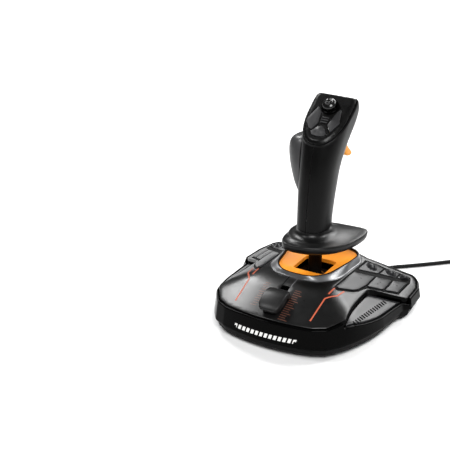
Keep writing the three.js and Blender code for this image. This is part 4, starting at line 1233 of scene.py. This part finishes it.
# ---------------------------------------------------------------- lead
def coil_path():
    """Clockwise turns, three wide and three high, from the lead's end to the plug."""
    out, mid, ins = 2 * CORD_R, 0.0, -2 * CORD_R
    z1, z2, z3 = CORD_R + 0.02, 3 * CORD_R, 5 * CORD_R
    # offset from the coil's radius and height, one pair per half turn
    cells = [(out, z2), (out, z2), (out, z3), (out, z3), (mid, z3), (mid, z3), (-CORD_R, z3 + 3.8),
             (ins, z3), (ins, z3), (ins, z2), (ins, z2), (mid, z2), (mid, z2), (ins, z1), (ins, z1),
             (mid, z1), (mid, z1), (out, z1), (out, z1)]
    start = math.atan2(CORD_ROUTE[-1][1] - COIL_CENTRE[1], CORD_ROUTE[-1][0] - COIL_CENTRE[0])
    travel = np.linspace(0, start + 2 * math.pi * COIL_TURNS, COIL_STEPS)
    half = np.clip(np.floor((travel + (math.pi - start)) / math.pi).astype(int), 0, len(cells) - 1)
    radial = np.array([cells[h][0] for h in half])
    height = np.array([cells[h][1] for h in half])
    window = np.hanning(15)
    window /= window.sum()
    soften = lambda v: np.convolve(np.pad(v, 7, mode="edge"), window, "valid")
    radial, height = soften(radial), soften(height)
    enter = smooth(travel / 0.9)
    radial = (LEAD_END_R - COIL_R) * (1 - enter) + radial * enter
    height = LEAD_Z * (1 - enter) + height * enter
    angle = start - travel
    return np.c_[COIL_CENTRE[0] + (COIL_R + radial) * np.cos(angle),
                 COIL_CENTRE[1] + (COIL_R + radial) * np.sin(angle), height]


def make_cord():
    lead = spline(CORD_ROUTE, 70, False)
    coil = coil_path()
    y, z = coil[-1][1:]
    tail = [(PLUG_X, y - 3, z), (PLUG_X, y - 7, z + 0.4), (PLUG_X, y - 12, PLUG_Z - 0.4),
            (PLUG_X, PLUG_Y + 2, PLUG_Z), (PLUG_X, PLUG_Y + 0.3, PLUG_Z)]
    path = np.vstack([lead[:-1], coil, tail]) * 0.001
    data = bpy.data.curves.new("usb_lead", "CURVE")
    data.dimensions = "3D"
    data.bevel_depth = CORD_R * 0.001
    data.bevel_resolution = 5
    data.use_fill_caps = True
    line = data.splines.new("POLY")
    line.points.add(len(path) - 1)
    for point, place in zip(line.points, path):
        point.co = (*place, 1)
    line.use_smooth = True
    data.materials.append(LOOKS["cord_black"])
    lead_object = bpy.data.objects.new("usb_lead", data)
    bpy.context.scene.collection.objects.link(lead_object)
    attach(lead_object, "base")
    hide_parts("cord_lead", "cord_coil")


make_cord()

# ---------------------------------------------------------------- crisp pieces carried over from the CAD
ROLLS = {"lower_tray": 0.4, "usb_plug_body": 0.9, "usb_plug_shell": 0.15, "cord_tie": 0.3,
         "gimbal_frame": 0.5, "gimbal_ring": 0.6, "ballast_left": 0.4, "ballast_right": 0.4,
         "slider_carriage": 0.4}
FINE_ROLLED = ("foot_", "tray_screw", "pitch_spring", "roll_spring", "stick_shaft", "sensor", "trigger_pin",
               "twist_bearing", "hat_spider", "cord_gland")
for name, width in ROLLS.items():
    rolled(nodes[name], width)
for name in nodes:
    if name.startswith(FINE_ROLLED):
        rolled(nodes[name], 0.25, 2, 60)

floor_mesh = bpy.data.meshes.new("floor")
floor_mesh.from_pydata([(-4, -4, 0), (4, -4, 0), (4, 4, 0), (-4, 4, 0)], [], [(0, 1, 2, 3)])
floor_mesh.materials.append(FLOOR_LOOK)
floor = bpy.data.objects.new("floor", floor_mesh)
bpy.context.scene.collection.objects.link(floor)

bpy.context.view_layer.update()
